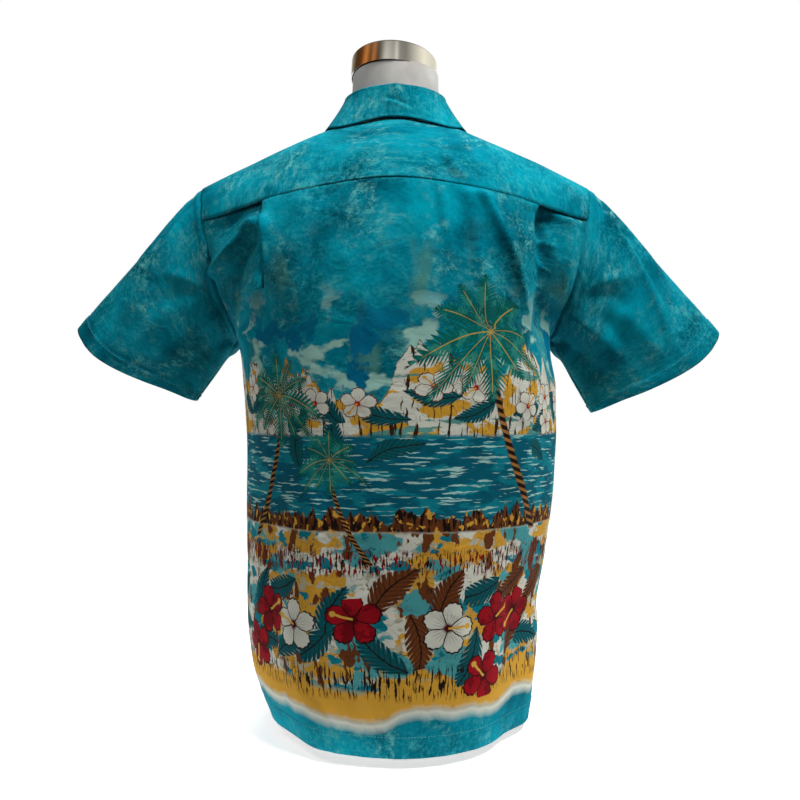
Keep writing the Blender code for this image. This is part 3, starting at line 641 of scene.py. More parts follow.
def sewn(name, paths, pitch=STITCH_PITCH, length=STITCH, turned=0.0):
    """Rows of stitches that lie on the cloth along paths, each of them a row of points and the normals there."""
    seams = bmesh.new()
    for points, normals in paths:
        run = np.concatenate([[0], np.cumsum(np.linalg.norm(np.diff(points, axis=0), axis=-1))])

        def at(values, distance):
            return Vector([float(np.interp(distance, run, column)) for column in values.T])

        for middle in np.arange(pitch / 2, run[-1] - pitch / 2, pitch):
            along = at(points, middle + length / 2) - at(points, middle - length / 2)
            out = at(normals, middle).normalized()
            along.rotate(Matrix.Rotation(turned, 3, out))
            lie = Matrix.Translation(at(points, middle) + out * (CLOTH / 2 + THREAD_RADIUS * 0.6))
            lie @= along.to_track_quat("X", "Z").to_matrix().to_4x4()
            lie @= Matrix.Diagonal((length / 2, THREAD_RADIUS, THREAD_RADIUS, 1))
            bmesh.ops.create_uvsphere(seams, u_segments=6, v_segments=4, radius=1.0, matrix=lie)
    piece = made(name, seams, thread)
    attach(piece, "root")
    return piece


def yoke_seam_height(x, above):
    """The ring that the yoke's back seam is on, or one this much above it."""
    share = YOKE_SEAM_CENTRE + YOKE_SEAM_RISE * ease(0.0, 0.11, x) + YOKE_SEAM_END * (x / YOKE_HALF_WIDTH) ** 5
    return CHEST + share * (PEAK - CHEST) + above


def rows_to(top, v):
    """Heights of a panel's rows: close together in the hem, even to the chest, then closer under the armhole."""
    hem_row, chest_row = 0.10, 0.58
    low = np.interp(v, (0, hem_row, chest_row), (HEM_HEIGHT, HEM_HEIGHT + 1.3 * HEM_WIDTH, CHEST))
    share = np.clip((v - chest_row) / (1 - chest_row), 0, 1)
    return np.where(v <= chest_row, low, CHEST + (top - CHEST) * share**1.7)


def share_at(x):
    """Share of the way from the centre back to the armhole, at the yoke's level."""
    return float((QUARTER - angle_at(x, YOKE_LEVEL)) / (QUARTER - armhole_angle(YOKE_LEVEL)))


FOLD_STEPS = 7


def pleat_turns(fold):
    """Shares at which the cloth of one half of the back turns at its pleat, a few for each turn."""
    places = [fold, fold + PLEAT_DEPTH]
    return [share_at(x + side * PLEAT_TURN) for x in places for side in np.linspace(-1, 1, FOLD_STEPS)]


def pleated(share, fold, closed):
    """Where the cloth of a share lies, as a share, and its height above the worn surface, with its pleat folded."""
    turns = pleat_turns(fold)
    edge, root = share_at(fold), share_at(fold - PLEAT_DEPTH)
    turn = share_at(fold + PLEAT_TURN) - edge
    arc = np.linspace(0, math.pi, FOLD_STEPS)
    lies = [0, *(edge - turn + turn * np.sin(arc)), *(root + turn - turn * np.sin(arc)), 1]
    levels = [0.3, *(0.5 + 0.5 * np.cos(arc)), *(-0.5 + 0.5 * np.cos(arc)), -0.1]
    folded = np.interp(share, [0, *turns, 1], lies)
    level = np.interp(share, [0, *turns, 1], levels) * PLEAT_LAYERS
    return share + (folded - share) * ease(0.25, 1.0, closed), level * ease(0.0, 0.65, closed)


def back_columns(fold, count):
    """Shares of one half's columns of points: even, but for a few close together at each turn of the pleat."""
    turns = pleat_turns(fold)
    inner, outer = np.linspace(0, turns[0], count), np.linspace(turns[-1], 1, count * 2 // 3)
    return np.concatenate([inner[:-1], turns, outer[1:]])


BACK_SHARES = np.concatenate([back_columns(PLEAT_LEFT, 50)[::-1], -back_columns(PLEAT_RIGHT, 50)[1:]])
BACK_CREASES = [
    # from x, z to x, z on the back, bow to its side, half width, and how far it stands out or, below zero, dips in
    (0.15, 0.6, 0.24, 0.515, 0, 0.012, 0.016),
    (0.15, 0.6, 0.24, 0.515, 0, 0.0035, 0.0024),
    (0.152, 0.584, 0.235, 0.505, 0, 0.008, -0.0055),
    (0.16, 0.625, 0.22, 0.585, 0.002, 0.012, -0.005),
    (0.162, 0.585, 0.195, 0.49, -0.003, 0.012, -0.009),
    (0.143, 0.6, 0.164, 0.475, -0.002, 0.0045, 0.004),
    (0.152, 0.535, 0.17, 0.47, 0, 0.004, 0.003),
    (0.065, 0.64, 0.085, 0.61, 0, 0.008, -0.003),
    (0.07, 0.6, 0.066, 0.575, 0, 0.002, -0.001),
    (0.1, 0.63, 0.14, 0.48, 0.004, 0.016, 0.005),
    (0.085, 0.625, 0.11, 0.5, 0.004, 0.012, -0.004),
    (-0.084, 0.65, -0.16, 0.47, 0.005, 0.0105, 0.008),
    (-0.085, 0.648, -0.161, 0.468, 0.005, 0.003, 0.0024),
    (-0.089, 0.616, -0.145, 0.478, 0.005, 0.012, -0.0018),
    (-0.076, 0.64, -0.101, 0.48, 0.004, 0.009, 0.0042),
    (-0.066, 0.64, -0.084, 0.5, 0.004, 0.008, -0.0018),
    (-0.05, 0.64, -0.062, 0.54, 0.001, 0.005, 0.003),
    (-0.042, 0.64, -0.046, 0.56, 0.001, 0.004, -0.0024),
    (-0.156, 0.618, -0.163, 0.455, 0.001, 0.004, 0.0042),
    (-0.17, 0.612, -0.176, 0.44, 0.001, 0.012, -0.011),
    (-0.172, 0.625, -0.174, 0.42, 0, 0.026, -0.007),
    (-0.172, 0.607, -0.186, 0.53, 0.004, 0.005, 0.0045),
    (-0.204, 0.625, -0.2, 0.5, -0.002, 0.013, 0.01),
    (-0.164, 0.622, -0.207, 0.594, 0.003, 0.004, 0.006),
    (-0.164, 0.56, -0.186, 0.538, 0, 0.0035, 0.0034),
    (-0.17, 0.58, -0.19, 0.566, 0.001, 0.0035, 0.0028),
    (0.19, 0.52, 0.145, 0.44, 0.004, 0.01, -0.004),
    (0.185, 0.48, 0.14, 0.38, 0.006, 0.011, 0.004),
    (-0.19, 0.51, -0.155, 0.43, -0.004, 0.01, -0.004),
    (-0.185, 0.47, -0.135, 0.36, -0.006, 0.011, 0.0042),
    (0.06, 0.56, 0.015, 0.44, 0.004, 0.012, 0.0018),
    (0.155, 0.42, 0.135, 0.25, -0.004, 0.012, 0.003),
    (0.135, 0.3, 0.15, 0.08, 0.004, 0.015, -0.0036),
    (-0.155, 0.4, -0.13, 0.22, 0.004, 0.012, 0.0034),
    (-0.125, 0.3, -0.145, 0.06, -0.004, 0.015, -0.0036),
    (0.085, 0.3, 0.105, 0.05, 0.004, 0.016, 0.0036),
    (0.03, 0.24, 0.02, 0.03, 0.002, 0.016, -0.0026),
    (-0.06, 0.29, -0.085, 0.04, -0.004, 0.016, 0.0036),
    (-0.17, 0.14, -0.145, 0.03, 0.002, 0.009, 0.003),
    (0.09, 0.08, 0.05, 0.022, 0.001, 0.005, 0.0016),
    (-0.05, 0.075, -0.015, 0.02, 0.001, 0.005, 0.0014),
]


def back_lies(u, v):
    """Share, ring and pleat level of each point of the back."""
    share = np.interp(u, np.linspace(0, 1, len(BACK_SHARES)), BACK_SHARES)
    half = np.abs(share)
    folded = np.where(share >= 0, pleated(half, PLEAT_LEFT, 1.0)[0], pleated(half, PLEAT_RIGHT, 1.0)[0])
    height = rows_to(yoke_seam_height(folded * YOKE_HALF_WIDTH, 0.004), v)
    closed = ease(PLEAT_END, YOKE_LEVEL, height)
    left, left_level = pleated(half, PLEAT_LEFT, closed)
    right, right_level = pleated(half, PLEAT_RIGHT, closed)
    lies, level = np.where(share >= 0, [left, left_level], [right, right_level])
    return share, lies, height, level


def out_of(angle, height):
    """Unit normals of the worn cloth."""
    step = 1e-4
    round_body = worn(angle + step, height) - worn(angle - step, height)
    up = worn(angle, height + step) - worn(angle, height - step)
    normal = np.cross(round_body, up)
    return normal / np.linalg.norm(normal, axis=-1, keepdims=True)


def hem_relief(distance, along, seed):
    """The doubled edge of a hem: thicker up to its stitching, which draws the cloth in and puckers it."""
    doubled = HEM_LAYER * (1 - ease(HEM_WIDTH, HEM_WIDTH + 0.002, distance))
    stitched = -STITCH_PULL * bump(HEM_WIDTH, 0.0012, distance)
    pucker = PUCKER * ripple(along, distance * 0.3, PUCKERS_APART, seed) * bump(HEM_WIDTH * 0.6, 0.016, distance)
    return doubled + stitched + pucker


def back_place(u, v):
    share, lies, height, level = back_lies(u, v)
    angle = QUARTER - np.sign(share) * lies * (QUARTER - armhole_angle(height))
    points = worn(angle, height)
    to_yoke = yoke_seam_height(lies * YOKE_HALF_WIDTH, 0.0) - height
    free = ease(0.0, 0.014, to_yoke) * ease(0.0, 0.07, 1 - lies)
    push = level + creased(points[:, 0], points[:, 2], BACK_CREASES) * free
    tucked = ease(-0.003, 0.002, -to_yoke)
    return soft_folds(points, angle, height) + out_of(angle, height) * (push - 0.0010 * tucked)[:, None]


def back_relief(u, v, points):
    _, lies, height, _ = back_lies(u, v)
    x, z = points[:, 0], points[:, 2]
    slack = 0.0009 * ripple(x, z * 0.35, 0.040, 1) + 0.0005 * ripple(x, z * 0.6, 0.019, 2)
    to_yoke = yoke_seam_height(lies * YOKE_HALF_WIDTH, 0.0) - height
    gathered = 0.0007 * ripple(x, z * 0.2, 0.012, 3) * bump(0.008, 0.016, to_yoke)
    return (slack + gathered) * ease(0.0, 0.015, to_yoke) + hem_relief(height - HEM_HEIGHT, x, 4)


def back_bolt(u, v):
    share, _, height, _ = back_lies(u, v)
    return -share * BOLT_QUARTER, height


BACK_ROWS = 226
HEM_ROW = 16  # row of the back that its hem's stitching lies on
back, back_points, back_normals = cloth(
    "back_panel", len(BACK_SHARES) - 1, BACK_ROWS, back_place, back_relief, back_bolt, cotton
)
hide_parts("back")
back_sewing = sewn("back_hem_stitches", [(back_points[HEM_ROW], back_normals[HEM_ROW])])

# ---- Yoke ----------------------------------------------------------------------------------------------------
# A single layer of the same cotton over both shoulders, from a seam across the back to one just in front of the
# shoulders. It laps over the back, and is topstitched close to its edge.

YOKE_FRONT = 0.965
NECK_HALF_WIDTH = 0.078
NECK_BACK = 0.066
NECK_FRONT_HALF_WIDTH = 0.074
NECKLINE_SHARE = 0.52  # of each half's upper edge
NECK_TURN = 1.25  # quarter turns of the neckline, from the centre back to where it meets a front
NECK_ROUND = 0.86  # below 1, it is squarer than an oval
SHOULDER_RINGS = 240  # that the shoulder is looked up in
FRONT_TOP = CHEST + YOKE_FRONT * (PEAK - CHEST)
YOKE_CREASES = [
    # as for the back
    (-0.056, 0.676, -0.086, 0.632, 0, 0.005, 0.0032),
    (-0.046, 0.672, -0.072, 0.632, 0, 0.007, -0.002),
    (0.066, 0.648, 0.09, 0.642, 0.001, 0.003, 0.0022),
    (0.064, 0.655, 0.094, 0.65, 0.001, 0.003, -0.0014),
    (-0.128, 0.64, -0.17, 0.628, 0.001, 0.005, 0.002),
    (0.13, 0.638, 0.19, 0.618, 0.001, 0.006, 0.0018),
]


def over_shoulder(x, y):
    """Points of the same cloth above the chest, by their place in plan: the highest ring that reaches out to them."""
    rise = np.linspace(0, 1, SHOULDER_RINGS)[:, None]
    width, depth, square = ring_size(x, y, CHEST + rise * (PEAK - CHEST))
    edge = depth * np.maximum(1 - (np.abs(x) / width) ** square, 0) ** (1 / square)
    spare = edge * (1 - rise**SHOULDER_ROUND) ** (1 / SHOULDER_ROUND) - np.abs(y)
    last = len(rise) - 1 - np.argmax(spare[::-1] >= 0, axis=0)
    place = np.arange(len(x))
    inside, outside = spare[last, place], spare[np.minimum(last + 1, len(rise) - 1), place]
    part = np.where(outside < 0, inside / np.maximum(inside - outside, 1e-12), 0)
    reached = (last + np.clip(part, 0, 1)) / (len(rise) - 1)
    return np.stack([x, y, leaning(x, reached)], axis=-1)


def yoke_place(u, v):
    """Wraps over both shoulders: its lower edge laps over the back, its ends and its upper edge meet the fronts."""
    corner = worn(-angle_at(NECK_FRONT_HALF_WIDTH, FRONT_TOP), FRONT_TOP)
    half = np.abs(1 - 2 * u)

    def upper_edge(half):
        turn = np.clip(half / NECKLINE_SHARE, 0, 1) * NECK_TURN * QUARTER
        behind, before = np.minimum(turn, QUARTER), ease(0, (NECK_TURN - 1) * QUARTER, turn - QUARTER)
        x = NECK_HALF_WIDTH * np.sin(behind) ** NECK_ROUND - (NECK_HALF_WIDTH - NECK_FRONT_HALF_WIDTH) * before
        y = NECK_BACK * np.maximum(np.cos(behind), 0) ** NECK_ROUND
        y += corner[1] * np.clip(turn / QUARTER - 1, 0, NECK_TURN - 1) / (NECK_TURN - 1)
        out = np.clip((half - NECKLINE_SHARE) / (1 - NECKLINE_SHARE), 0, 1)
        inner, outer = angle_at(NECK_FRONT_HALF_WIDTH, FRONT_TOP), armhole_angle(FRONT_TOP)
        front = worn(-(inner + (outer - inner) * out), FRONT_TOP + 0 * out)
        return np.where(out > 0, front[..., 0], x), np.where(out > 0, front[..., 1], y)

    def lower_edge(half):
        height = yoke_seam_height(half * YOKE_HALF_WIDTH, -0.0005)
        point = worn(QUARTER - half * (QUARTER - armhole_angle(height)), height)
        return point[..., 0], point[..., 1]

    heights = np.linspace(CHEST + 0.4 * (PEAK - CHEST), PEAK, 90)
    behind, before = worn(armhole_angle(heights), heights), worn(-armhole_angle(heights), heights)
    armhole_edge = np.concatenate([before, behind[::-1]])
    low_x, low_y = lower_edge(half)
    high_x, high_y = upper_edge(half)
    x, y = low_x + (high_x - low_x) * v, low_y + (high_y - low_y) * v
    first, last = lower_edge(np.ones(1)), upper_edge(np.ones(1))
    end_x, end_y = (first[i] + (last[i] - first[i]) * v for i in (0, 1))
    x += half**4 * (np.interp(end_y, armhole_edge[:, 1], armhole_edge[:, 0]) - end_x)
    return over_shoulder(np.where(u < 0.5, x, -x), y)


def yoke_relief(u, v, points):
    lapped = 0.0012 * (1 - ease(0.0, 0.10, v))
    stitched = -0.0003 * bump(0.03, 0.008, v)
    x, y = points[:, 0], points[:, 1]
    slack = 0.0007 * ripple(x, y, 0.035, 11) * ease(0.0, 0.2, v)
    pucker = 0.0004 * ripple(x, y * 0.3, 0.009, 12) * bump(0.02, 0.10, v)
    folds = creased(x, points[:, 2], YOKE_CREASES) * ease(0.0, 0.03, y) * ease(0.0, 0.06, v)
    return lapped + stitched + slack + pucker + folds


def yoke_bolt(u, v):
    return (u - 0.5) * 0.5, 0.66 + v * 0.16


yoke, *_ = cloth("yoke_panel", 200, 64, yoke_place, yoke_relief, yoke_bolt, cotton)
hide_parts("yoke")

# ---- Fronts --------------------------------------------------------------------------------------------------
# Two panels of the same cotton. The left laps over the right and buttons to it, and above the top button both turn
# back along a soft roll, so that their facings show as lapels.

BREAK_HEIGHT = 0.612
LAP = 0.016
UNDERLAP = 0.0014
FRONT_ROWS = 200
SIDES = {1: "left", -1: "right"}


def front_edge(height):
    """The front's inner edge from the centre: past it up to the break, then back along the lapel's roll."""
    open_share = np.clip((height - BREAK_HEIGHT) / (FRONT_TOP - BREAK_HEIGHT), 0, 1)
    return -LAP + (NECK_FRONT_HALF_WIDTH + LAP) * open_share**0.75


FRONT_CREASES = [
    # from x, z to x, z with x out from the centre, bow, half width and rise
    (0.075, 0.69, 0.15, 0.54, 0.004, 0.01, 0.0046),
    (0.1, 0.68, 0.17, 0.56, 0.004, 0.011, -0.0046),
    (0.205, 0.61, 0.15, 0.5, 0.004, 0.01, -0.0048),
    (0.19, 0.5, 0.12, 0.39, 0.006, 0.011, 0.005),
    (0.18, 0.45, 0.12, 0.33, 0.006, 0.011, -0.0036),
    (0.1, 0.42, 0.13, 0.2, 0.004, 0.013, 0.004),
    (0.05, 0.3, 0.08, 0.06, 0.004, 0.015, 0.004),
    (0.14, 0.3, 0.125, 0.04, 0.004, 0.014, -0.0036),
    (0.02, 0.545, 0.095, 0.5, 0.002, 0.007, 0.0022),
    (0.02, 0.41, 0.09, 0.38, 0.002, 0.007, 0.002),
    (0.02, 0.255, 0.08, 0.235, 0.002, 0.007, 0.0018),
]


def front_panel(side):
    """side is 1 for the left front and -1 for the right."""

    def lies(u, v):
        out = u if side < 0 else 1 - u
        height = rows_to(FRONT_TOP, v)
        inner = front_edge(height)
        reach = QUARTER - np.sign(inner) * (QUARTER - angle_at(inner, height, SIDES[side]))
        return out, height, armhole_angle(height) + (reach - armhole_angle(height)) * out

    def place(u, v):
        out, height, angle = lies(u, v)
        round_body = -angle if side > 0 else math.pi + angle
        points = soft_folds(worn(round_body, height), round_body, height)
        if side < 0:
            points[:, 1] += UNDERLAP * ease(-0.045, -0.022, points[:, 0])
        return points

    def relief(u, v, points):
        out, height, angle = lies(u, v)
        x, z = points[:, 0] * side, points[:, 2]
        slack = 0.0009 * ripple(x, z * 0.35, 0.040, 21 + side) + 0.0005 * ripple(x, z * 0.6, 0.019, 25 + side)
        free = ease(0.0, 0.04, x)
        return (slack + creased(x, z, FRONT_CREASES)) * free + hem_relief(height - HEM_HEIGHT, x, 28 + side)

    def bolt(u, v):
        out, height, angle = lies(u, v)
        return (BOLT_QUARTER * (1 + out) if side < 0 else BOLT_QUARTER * (3.4 - out)), height

    name = SIDES[side]
    panel, points, normals = cloth(f"front_panel_{name}", 120, FRONT_ROWS, place, relief, bolt, cotton)
    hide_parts(f"front_{name}")
    row = slice(2, -1) if side < 0 else slice(1, -2)
    hem_row = round(HEM_ROW * FRONT_ROWS / BACK_ROWS)
    sewing = sewn(f"front_hem_stitches_{name}", [(points[hem_row, row], normals[hem_row, row])])


for side in SIDES:
    front_panel(side)

# ---- Sleeves -------------------------------------------------------------------------------------------------
# Short set-in sleeves of the same cotton, each one piece with a seam under the arm and a turned-up hem. They hang
# open, empty, from the armholes.

CUFF_INNER = {1: Vector((0.256, -0.004, 0.394)), -1: Vector((0.251, -0.004, 0.379))}
CUFF_OUTER = {1: Vector((0.4045, -0.010, 0.4895)), -1: Vector((0.4125, -0.010, 0.4850))}
CUFF_HALF_DEPTH = 0.046
CUFF_DROOP, DROOP_DOWN = 0.014, np.array((0.66, 0, -0.75))  # how far, and which way
CROWN_BULGE, CROWN_OUT = 0.003, (0.68, 0, 0.73)  # how far, and which way
CUFF_HEM = 0.020
CUFF_ROUND = RIPPLE_CELLS * PUCKERS_APART  # so that the hem's puckers meet at the seam
CUFF_ROW = 9  # row of the sleeve's grid that its hem's stitching lies on
SLEEVE_LENGTH = 0.22


def armhole(turn):
    """The left armhole's edge: turn goes from the underarm up the back, over the shoulder and down the front."""
    height = CHEST + (PEAK - CHEST) * (1 - np.cos(turn)) / 2
    angle = np.where(np.sin(turn) >= 0, 1, -1) * armhole_angle(height)
    return worn(angle, height)


SLEEVE_CREASES = [
    # from turn, way down to turn, way down, bow, half width and rise, in shares of the sleeve
    (0.02, 0.02, 0.14, 1.1, 0.03, 0.026, -0.0045),
    (0.11, 0.02, 0.2, 1, 0.02, 0.026, 0.0055),
    (0.15, 0.02, 0.27, 0.55, 0.02, 0.024, -0.0045),
    (0.12, 0.02, 0.33, 0.45, 0.02, 0.018, 0.0034),
    (0.44, 0.02, 0.37, 0.75, 0.02, 0.02, 0.0038),
    (0.4, 0.02, 0.33, 0.65, 0.02, 0.018, -0.0036),
    (0.47, 0.02, 0.455, 0.4, 0, 0.01, -0.003),
    (0.98, 0.02, 0.79, 0.75, 0.03, 0.02, 0.006),
    (0.93, 0.02, 0.73, 0.55, 0.02, 0.022, -0.0055),
    (0.88, 0.02, 0.67, 0.45, 0.02, 0.018, 0.0034),
    (0.56, 0.02, 0.63, 0.75, 0.02, 0.02, 0.0038),
    (0.6, 0.02, 0.67, 0.65, 0.02, 0.018, -0.0036),
    (0.24, 0.45, 0.25, 0.98, 0.01, 0.022, 0.0032),
    (0.2, 0.35, 0.18, 0.98, 0.01, 0.03, -0.005),
    (0.39, 0.06, 0.27, 0.98, 0, 0.02, 0.0048),
    (0.388, 0.1, 0.272, 0.9, 0, 0.007, 0.0012),
    (0.76, 0.45, 0.75, 0.98, 0.01, 0.022, 0.0032),
    (0.82, 0.5, 0.83, 0.98, 0.01, 0.022, -0.003),
]


def sleeve(side):
    """side is 1 for the left sleeve and -1 for the right."""
    middle = np.array((CUFF_INNER[side] + CUFF_OUTER[side]) / 2)
    across = np.array((CUFF_OUTER[side] - CUFF_INNER[side]) / 2)

    def share_round(u):
        return u if side < 0 else 1 - u

    def place(u, v):
        down = 1 - v
        turn = 2 * math.pi * share_round(u)
        start = armhole(turn)
        up, back_share = -np.cos(turn)[:, None], np.sin(turn)[:, None]
        cuff = middle + up * across + back_share * (0, CUFF_HALF_DEPTH, 0)
        cuff += (1 - up**2) * (1 + 0.8 * up) * CUFF_DROOP * DROOP_DOWN
        crown = CROWN_BULGE * np.sin(math.pi * down) ** 0.8 * (1 - down)
        points = start + (cuff - start) * down[:, None]
        points += crown[:, None] * np.clip(up, 0, 1) * CROWN_OUT
        tucked = 1 - ease(0.0, 0.03, down)
        points *= 1 - 0.004 * tucked[:, None] * (1, 1, 0)
        if side < 0:
            points = points * (-1, 1, 1)
        return points

    def relief(u, v, points):
        down, round_it = 1 - v, share_round(u)
        from_hem = v * SLEEVE_LENGTH
        doubled = HEM_LAYER * (1 - ease(CUFF_HEM, CUFF_HEM + 0.002, from_hem))
        stitched = -STITCH_PULL * bump(CUFF_HEM, 0.0014, from_hem)
        seam = 0.0011 * bump(0.035, 0.018, down) - 0.0006 * bump(0.0, 0.010, down)
        around = round_it * CUFF_ROUND
        slack = 0.0010 * ripple(around, down * 0.10, 0.036, 31 + side)
        slack += 0.0004 * ripple(around, down * 0.2, 0.018, 33)
        pucker = 0.0006 * ripple(around, down, PUCKERS_APART, 36) * bump(CUFF_HEM * 0.7, 0.014, from_hem)
        free = ease(0.02, 0.12, down)
        folds = creased(round_it, down, SLEEVE_CREASES)
        return doubled + stitched + seam + (slack + folds) * free + pucker

    def bolt(u, v):
        return 1.6 + side * 0.5 + share_round(u) * 0.42, 0.72 + v * SLEEVE_LENGTH

    name = SIDES[side]
    tube, points, normals = cloth(f"short_sleeve_{name}", 160, 112, place, relief, bolt, cotton)
    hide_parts(f"sleeve_{name}")
    sewing = sewn(f"sleeve_hem_stitches_{name}", [(points[CUFF_ROW], normals[CUFF_ROW])])


for side in SIDES:
    sleeve(side)

# ---- Collar and lapels ---------------------------------------------------------------------------------------
# A one-piece camp collar of two layers of the cotton round an interlining, folded over so that its leaf lies on the
# yoke, and the facings of both fronts, which show as lapels below it.

COLLAR_CLOTH = 0.0013
COLLAR_ROLL = 0.0030
COLLAR_LIFT, BACK_LIFT = 0.0030, 0.0024  # of the leaf's edge off the yoke, and what it gains at the centre back
STAND_END, LEAF_START = 0.4, 0.6  # of the way from the collar's seam to its leaf's edge, with the roll between
COLLAR = np.array(
    [
        # share from the centre back to the front end: seam, fold and leaf edge, in plan, and the fold's height
        (0, 0, 0.0655, 0, 0.061, 0.772, 0, 0.069),
        (0.2, 0.042, 0.056, 0.038, 0.049, 0.771, 0.044, 0.066),
        (0.38, 0.069, 0.029, 0.06, 0.021, 0.7725, 0.073, 0.055),
        (0.55, 0.077, 0, 0.063, -0.006, 0.772, 0.09, 0.015),
        (0.75, 0.074, -0.033, 0.06, -0.039, 0.758, 0.108, -0.028),
        (1, 0.065, -0.06, 0.055, -0.065, 0.735, 0.104, -0.086),
    ],
    dtype=[(n, float) for n in "share seam_x seam_y fold_x fold_y fold_z edge_x edge_y".split()],
)


def collar_place(u, v):
    share = np.abs(1 - 2 * u)
    read = {n: through(COLLAR, "share", n, share) for n in COLLAR.dtype.names[1:]}
    seam = over_shoulder(read["seam_x"], read["seam_y"])
    seam[:, 2] += CLOTH
    edge = over_shoulder(read["edge_x"], read["edge_y"])
    edge[:, 2] += COLLAR_LIFT + BACK_LIFT * bump(0, 0.17, share)
    fold = np.stack([read["fold_x"], read["fold_y"], read["fold_z"]], axis=-1)
    out = (edge - seam) * (1, 1, 0)
    out /= np.linalg.norm(out, axis=-1, keepdims=True)
    middle = fold - (0, 0, COLLAR_ROLL)
    up = np.array((0.0, 0.0, COLLAR_ROLL))
    around = np.clip((v - STAND_END) / (LEAF_START - STAND_END), 0, 1)[:, None] * math.pi
    rolled = middle - out * COLLAR_ROLL * np.cos(around) + up * np.sin(around)
    stand = seam + (rolled - seam) * np.clip(v / STAND_END, 0, 1)[:, None]
    leaf = rolled + (edge - rolled) * np.clip((v - LEAF_START) / (1 - LEAF_START), 0, 1)[:, None]
    points = np.where(v[:, None] < 0.5, stand, leaf)
    points[:, 0] *= np.where(u < 0.5, -1, 1)
    return points


COLLAR_CREASES = [
    # from x, z to x, z on the leaf's back, bow, half width and rise
    (0.012, 0.7545, -0.024, 0.7405, 0.0006, 0.0022, -0.0016),
    (0.01, 0.751, -0.02, 0.7375, 0.0006, 0.003, 0.0014),
    (-0.002, 0.77, -0.006, 0.75, 0.0004, 0.004, 0.0016),
]


def collar_relief(u, v, points):
    around = u * 0.5
    stitched = -0.0004 * bump(0.955, 0.008, v)
    slack = 0.0006 * ripple(around, v * 0.05, 0.03, 41) * ease(0.55, 0.7, v)
    behind = ease(0.60, 0.66, v) * ease(0.0, 0.02, points[:, 1])
    return stitched + slack + creased(points[:, 0], points[:, 2], COLLAR_CREASES) * behind


def collar_bolt(u, v):
    return 3.2 + u * 0.5, 0.75 - v * 0.08


collar, collar_points, collar_normals = cloth(
    "camp_collar", 200, 60, collar_place, collar_relief, collar_bolt, cotton, COLLAR_CLOTH
)
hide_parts("collar")
LEAF_ROW, LEAF_FOLD = 57, 37  # rows of the collar's grid: its edge stitching, and just past its fold
leaf_edge = [(collar_points[LEAF_ROW, 2:-2], collar_normals[LEAF_ROW, 2:-2])]
leaf_ends = [(collar_points[LEAF_FOLD:LEAF_ROW, i], collar_normals[LEAF_FOLD:LEAF_ROW, i]) for i in (2, -3)]
collar_sewing = sewn("collar_edge_stitches", leaf_edge + leaf_ends)

LAPEL_LOW, LAPEL_HIGH = 0.616, 0.681
LAPEL_POINT, LAPEL_WIDTH = 0.004, 0.036  # width at its lower end, and what it gains further up
LAPEL_CLEAR = 0.001  # from the roll
LAPEL_LIFT = 0.0030


def lapel(side):
    """The part of a front's facing that shows, turned back along the roll; side is as for the fronts."""

    def place(u, v):
        out = u if side > 0 else 1 - u
        height = LAPEL_LOW + (LAPEL_HIGH - LAPEL_LOW) * v
        roll = np.maximum(front_edge(height), 0.0) + LAPEL_CLEAR
        width = LAPEL_POINT + LAPEL_WIDTH * v**0.8
        x = roll + width * out
        points = worn(-angle_at(x, height), height)
        normal = points * (0.35, 1, 0) + (0, 0, 0.04)
        normal /= np.linalg.norm(normal, axis=-1, keepdims=True)
        points += normal * (LAPEL_LIFT * np.sqrt(np.clip(out / 0.12, 0, 1)))[:, None]
        return points * (side, 1, 1)

    def relief(u, v, points):
        return 0.0006 * ripple(points[:, 0], points[:, 2], 0.02, 51)

    def bolt(u, v):
        return 4.0 + u * 0.05, 0.70 + v * 0.07

    name = SIDES[side]
    facing, *_ = cloth(f"lapel_facing_{name}", 30, 48, place, relief, bolt, cotton)
    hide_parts(f"lapel_{name}")


for side in SIDES:
    lapel(side)

# ---- Dress form ----------------------------------------------------------------------------------------------
# A limbless foam torso under a pale knitted jersey cover, which shows at the neck, with a satin brushed metal cap.

FORM = np.array(
    [
        # height, half width, depths behind and before the axis, squareness
        (0, 0.134, 0.106, 0.108, 2),
        (0.01, 0.14, 0.112, 0.114, 2),
        (0.06, 0.143, 0.114, 0.118, 2),
        (0.15, 0.14, 0.108, 0.118, 2),
        (0.25, 0.149, 0.11, 0.124, 2.1),
        (0.35, 0.163, 0.12, 0.132, 2.1),
        (0.43, 0.173, 0.127, 0.133, 2.2),
        (0.5, 0.179, 0.128, 0.129, 2.2),
        (0.56, 0.184, 0.121, 0.119, 2.2),
        (0.61, 0.188, 0.108, 0.104, 2.1),
        (0.645, 0.185, 0.094, 0.09, 2),
        (0.672, 0.163, 0.084, 0.081, 2),
        (0.695, 0.127, 0.075, 0.074, 2),
        (0.714, 0.09, 0.065, 0.066, 2),
        (0.731, 0.066, 0.055, 0.059, 2),
        (0.75, 0.059, 0.05, 0.059, 2),
        (0.796, 0.0545, 0.05, 0.058, 2),
    ],
    dtype=[(n, float) for n in ("height", "half_width", "back", "front", "square")],
)
NECK_TOP = 0.806  # inside the cap
RIBS_ROUND = 240  # drawn as coarse as they need to be to show


def knitted_jersey():
    """Knitted viscose jersey, stretched: matt and pale, with fine ribs of stitches."""
    material, tree, shader = new_material("knitted_viscose_jersey")
    place = add(tree, "TexCoord").node.outputs["Object"]
    shade = add(tree, "TexNoise", place, Scale=30.0, Detail=4.0)
    tone = add(tree, "ValToRGB", shade, stops=[(0.3, "#D0CBC4"), (0.7, "#EEEAE4")])
    parts = add(tree, "SeparateXYZ", place).node.outputs
    round_it = add(tree, "ARCTAN2", parts[1], parts[0])
    ribs = add(tree, "SINE", ("MULTIPLY", round_it, RIBS_ROUND))
    lift = add(tree, "Bump", 0.5, 0.0004, Height=ribs)
    feed(shader, named={"Base Color": tone, "Normal": lift, "Roughness": 0.95, "Sheen Weight": 0.1})
    return material


